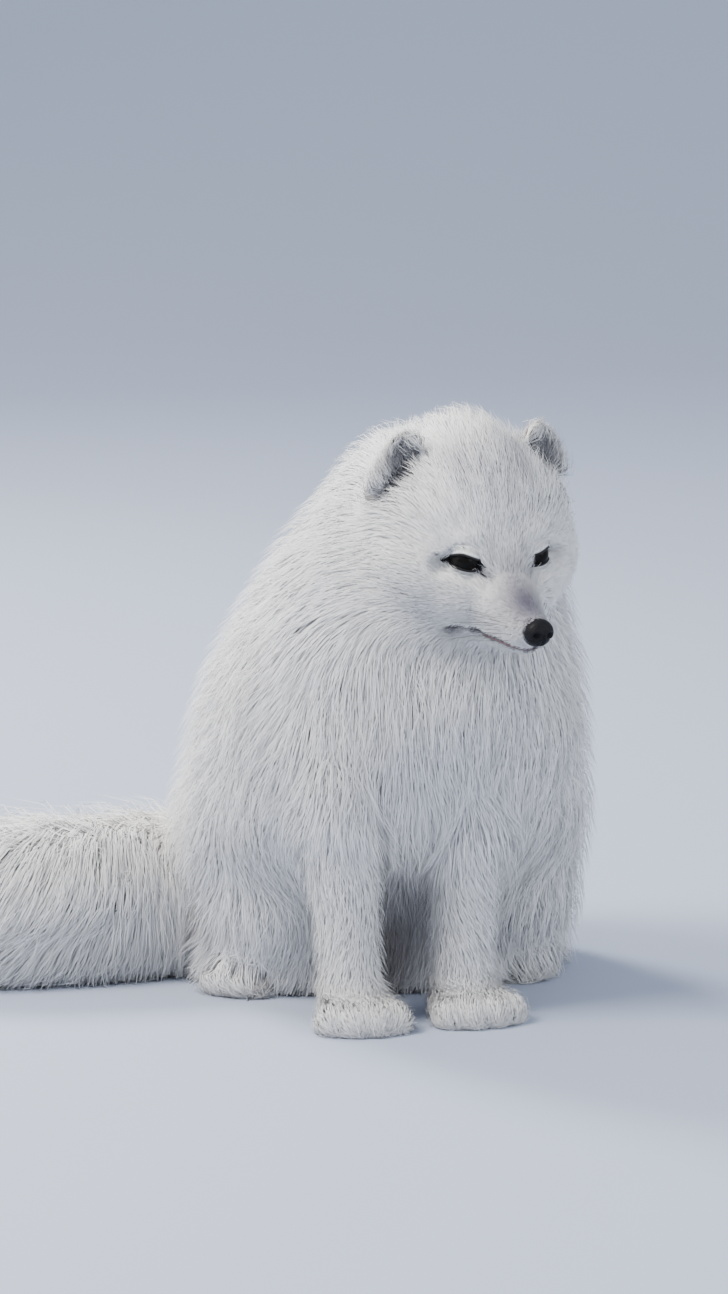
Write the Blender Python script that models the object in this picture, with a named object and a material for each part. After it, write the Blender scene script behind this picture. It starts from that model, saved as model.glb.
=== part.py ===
"""Seated arctic fox in its winter coat, at life size.

Every solid reaches out to the tips of the coat. The fox faces -Y, its left is +X, and its paws, seat and
tail rest on flats at z = 0. The head is laid out in its own frame (x = left, y = back, z = up, from the
point midway between the eyes), then turned and pitched into place. The flesh is shaped as four blended
forms (body, head, limbs, tail), and thin plane cuts part them into the named sub-parts.
"""
import bmesh
import bpy
from math import cos, pi, radians, sin
from mathutils import Matrix, Vector

# ---------------------------------------------------------------- driving dimensions, in millimetres
MM = 0.001
GAP = 0.3                                   # clearance between neighbouring solids

HEAD_AT = Vector((48.0, -140.0, 311.0))     # point midway between the eyes
HEAD_YAW = radians(13.0)                    # the fox looks a little to its left
HEAD_PITCH = radians(16.5)                  # and down

EYE_SIDE = 25.0                             # eyeball centre to the mid-plane
EYE_BACK = 5.0
EYE_UP = 0.5
EYE_RADIUS = 10.0

NOSE_AT = Vector((0.0, -57.0, -23.5))
NOSE_SIZE = (9.8, 7.0, 9.2)                 # half-width, half-depth, half-height

EAR_ROOT = Vector((45.0, 58.0, 16.0))
EAR_LENGTH = 54.0
EAR_HALF_WIDTH = 19.0
EAR_LEAN = radians(5.0)                     # the tips lean outward
EAR_BACK = radians(-12.0)                   # and back
EAR_OUT = radians(38.0)                     # the openings face forward and outward

# Body sections, from the seat to the nape: height, centre x, half-width, front y, back y.
BODY = (
    (-12, 16, 114, -4, 158),
    (0, 17, 122, -10, 166),
    (30, 17, 130, -22, 171),
    (70, 14, 132, -42, 169),
    (104, 12, 132, -78, 161),
    (128, 11, 130, -102, 150),
    (165, 10, 125, -118, 134),
    (205, 10, 119, -128, 112),
    (245, 12, 109, -132, 86),
    (280, 17, 97, -126, 58),
    (312, 22, 84, -118, 34),
    (342, 26, 70, -108, 12),
    (366, 29, 56, -92, -6),
    (384, 31, 36, -68, -26),
)
BODY_SQUARENESS = 2.25                      # superellipse exponent of each section
THIGH_LEFT_X = 90.0
THIGH_RIGHT_X = -60.0

# Head sections in the head's frame: y, half-width, top z, bottom z, from the nape to the lips.
FACE = (
    (112, 24, 40, -4),
    (98, 44, 58, -26),
    (76, 56, 70, -42),
    (54, 60, 74, -52),
    (36, 58, 69, -57),
    (20, 51, 55, -59),
    (8, 43, 36, -58),
    (-2, 35, 18, -57),
    (-12, 28, 4, -55.5),
    (-24, 21.5, -6, -53),
    (-36, 17, -12, -50),
    (-47, 13.5, -15, -46.5),
    (-54, 10.5, -17, -42),
    (-58, 6.5, -20, -37),
)

CROWN_PINCH = 0.3                           # how much the skull narrows between the ears

# Tail along the floor: x, y, z of the middle, half-width, half-height.
TAIL = (
    (30, 118, 40, 40, 40),
    (-30, 126, 46, 52, 50),
    (-90, 120, 50, 59, 55),
    (-150, 111, 52, 62, 57),
    (-210, 109, 52, 62, 57),
    (-265, 115, 49, 57, 54),
    (-312, 128, 43, 48, 47),
    (-345, 141, 35, 34, 37),
    (-366, 150, 28, 18, 22),
)

# Foreleg: height, x and y of the middle, half-width, half-depth. The left one is given; the right one
# is laid out from its own foot.
FORELEG = (
    (2, 0, 4, 19, 21),
    (28, 0, 6, 20, 22),
    (60, 1, 9, 20, 23),
    (95, 3, 11, 23, 27),
    (130, 6, 12, 28, 33),
    (165, 8, 12, 32, 38),
    (200, 8, 12, 29, 34),
)
FOREFOOT_LEFT = Vector((38.0, -88.0, 0.0))
FOREFOOT_RIGHT = Vector((-38.0, -92.0, 0.0))
HIND_FOOT_LEFT = Vector((94.0, 28.0, 0.0))
HIND_FOOT_RIGHT = Vector((-74.0, 30.0, 0.0))
NECK_AT = Vector((34.0, -88.0, 292.0))      # a point on the plane that parts the head from the neck
NECK_TILT = radians(-48.0)
BODY_TRIANGLES = 2600
HEAD_TRIANGLES = 3700

PAW_SPLAY = radians(6.0)
HIND_SPLAY = radians(18.0)

FUR_WHITE = (0.86, 0.84, 0.80, 1.0)
NOSE_BLACK = (0.012, 0.011, 0.012, 1.0)
EYE_BLACK = (0.010, 0.013, 0.010, 1.0)


# ---------------------------------------------------------------- small helpers
def material(name, colour, roughness):
    mat = bpy.data.materials.new(name)
    mat.use_nodes = True
    shader = mat.node_tree.nodes["Principled BSDF"]
    shader.inputs["Base Color"].default_value = colour
    shader.inputs["Roughness"].default_value = roughness
    shader.inputs["Metallic"].default_value = 0.0
    return mat


def curve_through(rows, steps):
    """Rows of numbers read at even steps along a Catmull-Rom curve through them."""
    read = []
    spans = len(rows) - 1
    for i in range(steps + 1):
        t = i / steps * spans
        k = min(int(t), spans - 1)
        t -= k
        four = [rows[max(k - 1, 0)], rows[k], rows[k + 1], rows[min(k + 2, spans)]]
        read.append([
            0.5 * (2 * b + (c - a) * t + (2 * a - 5 * b + 4 * c - d) * t ** 2 + (3 * b - a - 3 * c + d) * t ** 3)
            for a, b, c, d in zip(*four)
        ])
    return read


def superellipse(angle, exponent):
    c, s = cos(angle), sin(angle)
    reach = (abs(c) ** exponent + abs(s) ** exponent) ** (-1.0 / exponent)
    return c * reach, s * reach


def skin_rings(bm, rings):
    """Closed tube through rings of points, in millimetres, with a flat face on each end."""
    loops = [[bm.verts.new(p * MM) for p in ring] for ring in rings]
    for low, high in zip(loops, loops[1:]):
        for i in range(len(low)):
            j = (i + 1) % len(low)
            bm.faces.new((low[i], low[j], high[j], high[i]))
    bm.faces.new(list(reversed(loops[0])))
    bm.faces.new(loops[-1])


def add_ball(bm, centre, radii, turn=Matrix(), sides=16):
    """Ellipsoid with its own turn, in millimetres."""
    place = Matrix.Translation(Vector(centre) * MM) @ turn @ Matrix.Diagonal([r * MM for r in radii] + [1.0])
    bmesh.ops.create_uvsphere(bm, u_segments=sides, v_segments=sides // 2 + 2, radius=1.0, matrix=place)


def tube(bm, rows, sides=20):
    """Tube whose rows give x, y, z, half-width across and half-height, with rings square to its route."""
    rings = []
    for k, (x, y, z, wide, high) in enumerate(rows):
        before, after = rows[max(k - 1, 0)], rows[min(k + 1, len(rows) - 1)]
        ahead = (Vector(after[:3]) - Vector(before[:3])).normalized()
        across = ahead.cross(Vector((0, 0, 1))).normalized()
        upward = across.cross(ahead)
        angles = [2 * pi * i / sides for i in range(sides)]
        rings.append([Vector((x, y, z)) + across * wide * cos(a) + upward * high * sin(a) for a in angles])
    skin_rings(bm, rings)


def merge_into(whole, bm):
    """Add one set of shapes to another."""
    held = bpy.data.meshes.new("held")
    bm.to_mesh(held)
    bm.free()
    whole.from_mesh(held)
    bpy.data.meshes.remove(held)


def new_object(name, bm):
    mesh = bpy.data.meshes.new(name)
    bmesh.ops.recalc_face_normals(bm, faces=bm.faces)
    bm.to_mesh(mesh)
    bm.free()
    obj = bpy.data.objects.new(name, mesh)
    bpy.context.scene.collection.objects.link(obj)
    return obj


def settle(obj):
    """Replace an object's mesh by what its modifiers make of it."""
    bpy.context.view_layer.update()
    graph = bpy.context.evaluated_depsgraph_get()
    made = bpy.data.meshes.new_from_object(obj.evaluated_get(graph))
    obj.modifiers.clear()
    obj.data = made
    return obj


def smooth_form(name, bm, voxel, rounds):
    """One smooth closed form from overlapping shapes."""
    obj = new_object(name, bm)
    remesh = obj.modifiers.new("remesh", "REMESH")
    remesh.mode = "VOXEL"
    remesh.voxel_size = voxel * MM
    smooth = obj.modifiers.new("smooth", "SMOOTH")
    smooth.factor = 0.5
    smooth.iterations = rounds
    return settle(obj)


def thinned(obj, triangles):
    """The same form with fewer faces, most of them where it curves."""
    thin = obj.modifiers.new("thin", "DECIMATE")
    thin.ratio = min(1.0, triangles / (2.0 * len(obj.data.polygons)))
    thin.use_collapse_triangulate = True
    return settle(obj)


def blended(name, bm, voxel, rounds, triangles):
    return thinned(smooth_form(name, bm, voxel, rounds), triangles)


def copied(name, source):
    obj = bpy.data.objects.new(name, source.data.copy())
    bpy.context.scene.collection.objects.link(obj)
    return obj


def helper(obj):
    obj.hide_render = True
    obj.display_type = "WIRE"
    return obj


def block(name, low, high, frame=Matrix()):
    """Box cutter between two corners, in millimetres, in a frame of its own."""
    size = [(b - a) * MM for a, b in zip(low, high)]
    middle = Vector([(a + b) / 2 * MM for a, b in zip(low, high)])
    bm = bmesh.new()
    bmesh.ops.create_cube(bm, size=1.0, matrix=frame @ Matrix.Translation(middle) @ Matrix.Diagonal(size + [1.0]))
    return helper(new_object(name, bm))


def swollen(obj, by=GAP):
    """Copy of a solid grown by the clearance, to cut its neighbour with."""
    bm = bmesh.new()
    bm.from_mesh(obj.data)
    bm.normal_update()
    grown = [(v, v.normal * by * MM) for v in bm.verts]
    for v, step in grown:
        v.co += step
    return helper(new_object(obj.name + "_clearance", bm))


def cut(obj, cutter, operation="DIFFERENCE"):
    boolean = obj.modifiers.new(cutter.name, "BOOLEAN")
    boolean.operation = operation
    boolean.object = cutter
    boolean.solver = "EXACT"
    return settle(obj)


def taken(name, source, cutter):
    """Copy of the part of a solid that lies in a cutter."""
    return cut(copied(name, source), cutter, "INTERSECT")


def part_off(name, source, low, high, frame=Matrix()):
    """Part what lies in a box off a solid as its own sub-part, and leave the clearance between them."""
    piece = taken(name, source, block(name + "_region", low, high, frame))
    wide_low = [a - GAP for a in low]
    wide_high = [b + GAP for b in high]
    cut(source, block(name + "_cut", wide_low, wide_high, frame))
    return piece


def finished(obj, mat):
    obj.data.materials.clear()
    obj.data.materials.append(mat)
    obj.data.shade_smooth()
    obj.data.set_sharp_from_angle(angle=radians(50))
    return obj


# ---------------------------------------------------------------- forms
def head_frame():
    turn = Matrix.Rotation(HEAD_YAW, 4, "Z") @ Matrix.Rotation(HEAD_PITCH, 4, "X")
    return Matrix.Translation(HEAD_AT * MM) @ turn


def add_body(bm):
    """Pear-shaped seat, trunk and neck as a stack of level sections, with the thighs and ruff on it."""
    sides = 40
    rings = []
    for z, x, wide, front, back in curve_through(BODY, 34):
        middle = (front + back) / 2
        deep = (back - front) / 2
        ring = []
        for i in range(sides):
            across, along = superellipse(2 * pi * i / sides, BODY_SQUARENESS)
            ring.append(Vector((x + wide * across, middle + deep * along, z)))
        rings.append(ring)
    skin_rings(bm, rings)
    for x in (THIGH_LEFT_X, THIGH_RIGHT_X):
        lean = Matrix.Rotation(radians(-24), 4, "X")
        add_ball(bm, (x, 58, 66), (54, 92, 74), lean)
    for side in (-1, 1):
        add_ball(bm, (side * 40 + 12, -62, 190), (66, 62, 78))
    add_ball(bm, (20, -84, 214), (72, 54, 70))
    add_ball(bm, (6, -74, 150), (44, 36, 48))


def add_head(whole):
    """Skull, cheeks, brow, muzzle and jaw, made in the head's own frame."""
    bm = bmesh.new()
    rings = []
    sides = 28
    for y, wide, top, bottom in curve_through(FACE, 30):
        middle, tall = (top + bottom) / 2, (top - bottom) / 2
        angles = [2 * pi * i / sides for i in range(sides)]
        pinch = CROWN_PINCH * min(1.0, max(0.0, (y - 5) / 30))
        rings.append([
            Vector((wide * cos(a) * (1.0 - pinch * max(0.0, sin(a))), y, middle + tall * sin(a))) for a in angles
        ])
    skin_rings(bm, rings)
    for side in (-1, 1):
        add_ball(bm, (side * 29, 40, -17), (40, 47, 37))
        add_ball(bm, (side * 22, 22, -22), (30, 40, 30))
        add_ball(bm, (side * 20, 10, 14), (17, 14, 8))
        add_ball(bm, (side * 8.0, -40, -30), (9.0, 18, 9.5))
    bmesh.ops.transform(bm, matrix=head_frame(), verts=bm.verts)
    merge_into(whole, bm)


def ear_form(name, side):
    """Short rounded ear, dished on the side of its opening, with thick furry edges."""
    bm = bmesh.new()
    sides = 14
    stations = 9
    thick = 11.0
    rings = []
    for k in range(stations + 1):
        t = k / stations
        wide = EAR_HALF_WIDTH * (1.0 - 0.22 * t) * (max(0.0, 1.0 - t ** 3.4)) ** 0.5 + 0.6
        deep = thick * (1.0 - 0.45 * t) * (max(0.0, 1.0 - t ** 4)) ** 0.5 + 0.5
        dish = 0.9 * deep * sin(pi * min(1.0, t * 1.05 + 0.05))
        ring = []
        for i in range(sides):
            a = 2 * pi * i / sides
            y = deep * sin(a)
            if y < 0:
                y += dish * sin(a) ** 2 * 0.9
            ring.append(Vector((wide * cos(a), y, EAR_LENGTH * t - 4.0)))
        rings.append(ring)
    skin_rings(bm, rings)
    lean = Matrix.Rotation(side * EAR_LEAN, 4, "Y") @ Matrix.Rotation(EAR_BACK, 4, "X")
    turn = lean @ Matrix.Rotation(side * EAR_OUT, 4, "Z")
    root = Vector((side * EAR_ROOT.x, EAR_ROOT.y, EAR_ROOT.z)) * MM
    bmesh.ops.transform(bm, matrix=head_frame() @ Matrix.Translation(root) @ turn, verts=bm.verts)
    return new_object(name, bm)


def paw_shapes(bm, at, length, wide, high, turn):
    """Paw with four toes, its sole below the floor so that the floor cut leaves a flat."""
    frame = Matrix.Translation(at * MM) @ Matrix.Rotation(turn, 4, "Z")
    part = bmesh.new()
    add_ball(part, (0, 6, high * 0.42), (wide * 0.86, length * 0.56, high * 0.62))
    for i in range(4):
        along = -length * (0.50 if i in (1, 2) else 0.36)
        across = (i - 1.5) * wide * 0.50
        add_ball(part, (across, along, high * 0.30), (wide * 0.30, length * 0.27, high * 0.46))
    bmesh.ops.transform(part, matrix=frame, verts=part.verts)
    merge_into(bm, part)


def foreleg_form(name, foot, side):
    bm = bmesh.new()
    rings = []
    for z, x, y, wide, deep in curve_through(FORELEG, 14):
        angles = [2 * pi * i / 20 for i in range(20)]
        middle = Vector((foot.x + side * x, foot.y + y, z))
        rings.append([middle + Vector((wide * cos(a), deep * sin(a), 0)) for a in angles])
    skin_rings(bm, rings)
    paw_shapes(bm, foot + Vector((3, -6, 0)), 42, 30, 28, side * PAW_SPLAY)
    leg = blended(name, bm, 4.0, 4, 520)
    return floor_cut(leg)


def hind_foot_form(name, foot, side):
    bm = bmesh.new()
    paw_shapes(bm, foot + Vector((0, 6, 0)), 48, 28, 28, side * HIND_SPLAY)
    return floor_cut(blended(name, bm, 4.0, 4, 240))


def tail_form():
    bm = bmesh.new()
    tube(bm, curve_through(TAIL, 26), 24)
    tail = blended("tail_middle", bm, 6.0, 3, 480)
    return floor_cut(tail)


def floor_cut(obj):
    """Flat underside at z = 0."""
    far = 900
    return cut(obj, block(obj.name + "_below_floor", (-far, -far, -far), (far, far, 0)))


# ---------------------------------------------------------------- the fox
def build():
    white = material("winter_fur", FUR_WHITE, 0.85)
    black = material("nose_leather", NOSE_BLACK, 0.35)
    gloss = material("eye", EYE_BLACK, 0.08)
    face = head_frame()

    reach = 700.0

    # Head and body are one form, parted by a tilted plane from under the chin to the nape. The head's
    # copy keeps more faces than the body's.
    bm = bmesh.new()
    add_body(bm)
    add_head(bm)
    head = smooth_form("head", bm, 3.2, 8)
    trunk = thinned(copied("trunk", head), BODY_TRIANGLES)
    thinned(head, HEAD_TRIANGLES)
    neck_plane = Matrix.Translation(NECK_AT * MM) @ Matrix.Rotation(NECK_TILT, 4, "X")
    cut(head, block("behind_the_neck_cut", (-reach, -GAP / 2, -reach), (reach, reach, reach), neck_plane))
    cut(trunk, block("ahead_of_the_neck_cut", (-reach, -reach, -reach), (reach, GAP / 2, reach), neck_plane))
    floor_cut(trunk)
    torso_clearance = swollen(trunk)

    # Nose and eyes sit in the head, and the head is cut clear of them.
    bm = bmesh.new()
    add_ball(bm, NOSE_AT, NOSE_SIZE)
    bmesh.ops.transform(bm, matrix=face, verts=bm.verts)
    nose = new_object("nose", bm)
    eyes = []
    for side, name in ((1, "eye_left"), (-1, "eye_right")):
        bm = bmesh.new()
        add_ball(bm, (side * EYE_SIDE, EYE_BACK, EYE_UP), (EYE_RADIUS,) * 3)
        bmesh.ops.transform(bm, matrix=face, verts=bm.verts)
        eyes.append(new_object(name, bm))
    for inset in [nose] + eyes:
        cut(head, swollen(inset))

    # Muzzle and lower jaw, parted at the stop and along the mouth.
    mouth = face @ Matrix.Translation(Vector((0, 0, -50.0)) * MM) @ Matrix.Rotation(radians(-8.0), 4, "X")
    jaw = part_off("lower_jaw", head, (-60, -90, -40), (60, -6, 0), mouth)
    muzzle = part_off("muzzle", head, (-60, -90, -64), (60, -14, 20), face)

    ears = []
    for side, name in ((1, "ear_left"), (-1, "ear_right")):
        ear = ear_form(name, side)
        cut(ear, swollen(head))
        ears.append(ear)

    # The trunk gives its neck, chest, hindquarters and thighs.
    neck = part_off("neck", trunk, (-reach, -reach, 262), (reach, reach, 500))
    chest_tilt = Matrix.Translation(Vector((20, -20, 160)) * MM) @ Matrix.Rotation(radians(18), 4, "X")
    chest = part_off("chest", trunk, (-reach, -reach, -120), (reach, 0, 260), chest_tilt)
    thigh_left = part_off("thigh_left", trunk, (92, -60, -10), (reach, 128, 128))
    thigh_right = part_off("thigh_right", trunk, (-reach, -60, -10), (-52, 128, 128))
    rump_tilt = Matrix.Translation(Vector((20, 96, 120)) * MM) @ Matrix.Rotation(radians(-38), 4, "X")
    rump = part_off("hindquarters", trunk, (-reach, 0, -reach), (reach, reach, reach), rump_tilt)
    torso = [chest, trunk, thigh_left, thigh_right, rump, neck]

    # Limbs grow out of the torso, and are cut clear of it.
    limbs = []
    for side, word, fore, hind in ((1, "left", FOREFOOT_LEFT, HIND_FOOT_LEFT),
                                   (-1, "right", FOREFOOT_RIGHT, HIND_FOOT_RIGHT)):
        leg = foreleg_form("foreleg_" + word, fore, side)
        hind_foot = hind_foot_form("hind_paw_" + word, hind, side)
        cut(leg, torso_clearance)
        cut(hind_foot, torso_clearance)
        paw = part_off("forepaw_" + word, leg, (-200, -300, -10), (200, 100, 30))
        limbs += [leg, paw, hind_foot]

    tail = tail_form()
    cut(tail, torso_clearance)
    tail_root = part_off("tail_root", tail, (-158, 0, -10), (150, 300, 200))
    tail_tip = part_off("tail_tip", tail, (-500, 0, -10), (-272, 300, 200))

    flesh = torso + [head, muzzle, jaw] + ears + limbs + [tail_root, tail, tail_tip]
    for obj in flesh:
        finished(obj, white)
    finished(nose, black)
    for eye in eyes:
        finished(eye, gloss)
    set_on_origin(flesh + [nose] + eyes)


def set_on_origin(solids):
    """Move the whole fox so that the middle of its box stands over the origin."""
    corners = [v.co for obj in solids for v in obj.data.vertices]
    middle = [(min(c[i] for c in corners) + max(c[i] for c in corners)) / 2 for i in (0, 1)]
    for obj in solids:
        obj.data.transform(Matrix.Translation((-middle[0], -middle[1], 0.0)))


for old in list(bpy.data.objects):
    bpy.data.objects.remove(old, do_unlink=True)
build()
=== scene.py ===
"""Seated arctic fox in its winter coat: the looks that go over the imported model.

One skin replaces the nodes of flesh and lies inside them by the depth of the coat. The coat is solid mesh:
thin tapered tufts rooted on the skin, which follow the lie of the fur and reach out to the nodes' outline.
The fox faces -Y and its left is +X. The head has a frame of its own, in millimetres: x = left, y = back,
z = up, from the point midway between the eyes.
"""
import math
import bmesh
import bpy
import numpy as np
from mathutils import Matrix, Vector, bvhtree, kdtree


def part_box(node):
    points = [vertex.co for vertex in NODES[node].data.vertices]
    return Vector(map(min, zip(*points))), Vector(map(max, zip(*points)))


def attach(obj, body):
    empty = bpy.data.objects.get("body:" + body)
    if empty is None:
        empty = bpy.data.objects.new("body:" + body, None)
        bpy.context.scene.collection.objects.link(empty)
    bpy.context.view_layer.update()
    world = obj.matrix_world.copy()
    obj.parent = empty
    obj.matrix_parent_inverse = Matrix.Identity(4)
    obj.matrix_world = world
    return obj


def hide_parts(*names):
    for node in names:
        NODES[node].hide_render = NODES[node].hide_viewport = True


bl_info = {
    "name": "Seated Arctic Fox",
    "version": (1, 0, 0),
    "blender": (4, 5, 0),
    "location": "3D View > Sidebar > Arctic Fox",
    "description": "Skin, coat, eyes, nose, claws and whiskers of a seated arctic fox",
    "category": "Add Mesh",
}

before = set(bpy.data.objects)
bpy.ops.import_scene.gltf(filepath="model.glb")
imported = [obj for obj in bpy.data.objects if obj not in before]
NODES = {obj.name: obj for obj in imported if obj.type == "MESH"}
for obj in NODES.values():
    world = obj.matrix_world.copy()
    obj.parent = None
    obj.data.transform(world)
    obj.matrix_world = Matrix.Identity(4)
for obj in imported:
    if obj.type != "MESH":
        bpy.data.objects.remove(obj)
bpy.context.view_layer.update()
MM = 0.001

# ---------------------------------------------------------------- the animal's own layout
FLESH = tuple(name for name in sorted(NODES) if not name.startswith(("eye_", "nose")))
HEAD_PARTS = ("head", "muzzle", "lower_jaw")
EAR_PARTS = ("ear_left", "ear_right")
TAIL_PARTS = ("tail_root", "tail_middle", "tail_tip")
BODY_PARTS = ("neck", "chest", "trunk", "hindquarters", "thigh_left", "thigh_right")
FOREPAWS = ("forepaw_left", "forepaw_right")
HIND_PAWS = ("hind_paw_left", "hind_paw_right")

HEAD_PITCH = math.radians(16.5)
EYE_RADIUS = 10.0
EYE_CENTRE = (25.0, 5.0, 0.5)          # of the left eyeball, in the head's frame
INNER_CORNER = (14.0, -8.0, -7.0)      # of the left eye's slit
OUTER_CORNER = (37.5, 10.5, -2.2)
UPPER_ARCH, LOWER_ARCH = 10.2, 2.2     # rise of the slit's edges over the line from corner to corner
LID = 1.3                              # thickness of the lids over the eyeball
LID_FOLD = 0.8                         # depth of the fold in the upper lid
LID_REACH = 26.0                       # how far out the lids are shaped
EYE_SUNK = 1.6                         # how far the skin lies behind the eyeball's surface in the slit
GAZE = (0.42, -0.90, -0.12)            # of the left eye
CORNEA = 0.62                          # edge of the cornea, from the pupil's middle, to the radius
CORNEA_RISE = 0.7
NOSE_CENTRE = (0.0, -57.0, -25.2)
NOSE_SIZE = (9.8, 7.0, 9.2)
NOSTRIL = (4.4, 0.4)                   # middle of the left one, across and up from the pad's
NOSTRIL_SIZE = (1.9, 1.7)
NOSTRIL_DEPTH, SLIT_DEPTH, PAD_CLEFT = 3.2, 1.5, 1.1
MOUTH = ((30.0, -1.0, -48.0), (24.0, -20.0, -46.0), (17.0, -35.0, -43.5), (9.0, -48.0, -40.5),
         (0.0, -55.0, -39.0))            # left side, from the corner to the front
LIP_GROOVE, LIP_ROLL = 2.6, 0.6        # depth between the lips, and rise of the rolls beside it
CLEFT_DEPTH = 1.2
PHILTRUM = ((0.0, -60.0, -33.0), (0.0, -57.0, -36.0), (0.0, -55.0, -39.0))
EAR_FOOT = (45.0, 58.0, 16.0)
EAR_TIP = (47.0, 72.0, 64.0)
EAR_OPENING = (0.42, -0.90, 0.08)      # the way the left ear's opening faces
EAR_HOLLOW = 6.5                       # depth of the bowl
EAR_HALF_WIDTH = 17.0                  # of the bowl at the ear's foot
EAR_TURN = math.radians(-20.0)         # the openings face further forward than on the nodes
EAR_BROAD, EAR_TALL = 1.42, 1.10       # the ears grow by this much with their fur
EAR_SHIFT = (0.0, -9.0, -2.0)          # and stand this much further forward

# Depth of the coat over the skin, length and width of a tuft in mm, and tufts to a square centimetre.
COAT = {
    "head": (8.0, 28.0, 0.92, 56),
    "muzzle": (1.6, 4.2, 0.56, 170),
    "lower_jaw": (2.6, 8.0, 0.65, 110),
    "ear_left": (2.6, 11.0, 0.6, 120),
    "ear_right": (2.6, 11.0, 0.6, 120),
    "neck": (11.0, 40.0, 1.15, 33),
    "chest": (11.0, 40.0, 1.15, 33),
    "trunk": (12.0, 42.0, 1.15, 33),
    "hindquarters": (12.0, 42.0, 1.25, 28),
    "thigh_left": (11.0, 38.0, 1.2, 31),
    "thigh_right": (11.0, 38.0, 1.2, 31),
    "hind_paw_left": (5.0, 22.0, 0.9, 60),
    "hind_paw_right": (5.0, 22.0, 0.9, 60),
    "foreleg_left": (5.5, 18.0, 0.9, 54),
    "foreleg_right": (5.5, 18.0, 0.9, 54),
    "forepaw_left": (4.2, 15.0, 0.8, 70),
    "forepaw_right": (4.2, 15.0, 0.8, 70),
    "tail_root": (14.0, 42.0, 1.3, 31),
    "tail_middle": (15.0, 46.0, 1.3, 31),
    "tail_tip": (14.0, 46.0, 1.3, 31),
}
STAND = 1.22                           # how far the tips stand over the skin, to the coat's depth there
FACE_FUR = (2.2, 6.5, 0.66, 125)       # the same four for the fur of the brow and round the eyes

# Soft patches of darker fur: centre and radii in the head's frame, colour and strength. Each one off the
# middle is mirrored.
GREY = (0.27, 0.26, 0.32)
DARK_GREY = (0.12, 0.115, 0.13)
BROWN_GREY = (0.20, 0.165, 0.155)
DEEP_GREY = (0.115, 0.105, 0.155)
DARK_LIPS = (0.045, 0.035, 0.040)
FACE_MARKS = (
    ((0.0, -40.0, -11.0), (17.0, 26.0, 24.0), DEEP_GREY, 1.0),
    ((0.0, -20.0, -1.0), (7.0, 10.0, 8.0), GREY, 0.45),
    ((10.5, -13.0, 9.0), (3.4, 8.0, 11.0), GREY, 0.8),
    ((14.0, -9.0, -7.0), (5.0, 6.0, 4.0), GREY, 0.6),
    ((20.0, 24.0, 48.0), (7.0, 16.0, 15.0), GREY, 0.6),
    ((6.0, 14.0, 46.0), (4.0, 14.0, 16.0), GREY, 0.55),
    ((27.0, -4.0, -48.0), (7.0, 8.0, 3.5), DARK_GREY, 0.85),
)
# Soft patches on the body, centre and radii in metres, colour and strength: darker fur, and painted shade.
BODY_MARKS_AND_SHADE = (
    # painted shade, with some dirt, in the gap between the forelegs
    ((0.111, -0.01, 0.050), (0.035, 0.06, 0.080), BROWN_GREY, 0.85),
    ((-0.105, 0.050, 0.036), (0.055, 0.025, 0.009), BROWN_GREY, 0.55),
    ((-0.035, 0.052, 0.043), (0.035, 0.025, 0.011), BROWN_GREY, 0.65),
    # painted shade at the root of the tail, where it leaves the haunch
    ((0.005, 0.050, 0.060), (0.028, 0.025, 0.014), BROWN_GREY, 0.5),
    # painted shade where the coat meets the floor, under the front and under the tail
    ((0.055, -0.02, 0.0), (0.10, 0.09, 0.013), BROWN_GREY, 0.55),
    ((-0.15, 0.05, 0.0), (0.16, 0.12, 0.012), BROWN_GREY, 0.5),
)
# Where the coat makes the animal fuller: centre, reach and amount in mm in the head's frame, and centre
# and reach in metres with the amount in mm on the body.
HEAD_FULLNESS = (((50.0, 42.0, 24.0), 28.0, 13.0), ((54.0, 34.0, -14.0), 26.0, 6.0),
                 ((20.0, 52.0, 66.0), 24.0, -2.5))
BODY_FULLNESS = (((0.258, 0.03, 0.07), (0.05, 0.09, 0.07), 8.0), ((0.24, 0.0, 0.19), (0.05, 0.08, 0.06), 4.0))
# Where the long fur of the tail parts, seen from the front.
TAIL_PARTING = ((-0.150, 0.050, 0.038), (-0.100, 0.050, 0.035), (-0.055, 0.052, 0.038),
                (-0.020, 0.053, 0.048), (0.010, 0.052, 0.060))
PARTING_DEPTH, PARTING_REACH = 7.0, 0.009   # in mm, and in metres to each side
PIECE_LIMIT = 21000                    # tufts in a piece

# One tuft
SIDES = 3
SPANS = 2                              # lengths between its root and its tip
GIRTH = (0.75, 1.0)                    # its width at the start of each span, to its full width
SOFTNESS = 0.78                        # how far it is shaded like the body under it
# the root is darker for the undercoat, and for painted shade deep in the coat
ROOT_SHADE = 0.84                      # its colour at the root, to its colour at the tip
ROOT_DEPTH = 0.0006                    # how far it starts inside the skin
PATCH = 0.003                          # its place on the unwrap
LOWEST = 0.0004                        # of all fur, over the floor
# Chance in a tuft's turn aside, in its sizes and in its tone, and the shares of these in one that stands out
TURN_SPREAD = 0.16
LENGTH_SPREAD = (0.7, 1.12)
HEIGHT_SPREAD = (0.55, 1.02)
WIDTH_SPREAD = (0.66, 1.04)
TONE_SPREAD = (0.92, 1.04)
STRAY_LENGTH, STRAY_HEIGHT, STRAY_WIDTH, STRAY_GATHER = 1.12, 1.75, 0.5, 0.2
COAT_SIZES = ("height", "length", "width", "density")

CAMERA_AIM = (0.098, -0.0263, 0.239)
CAMERA_DISTANCE = 4.0
CAMERA_AZIMUTH = math.radians(-15.0)
CAMERA_ELEVATION = math.radians(10.0)
FRAME_HEIGHT = 0.846                   # seen at the fox's distance


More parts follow.
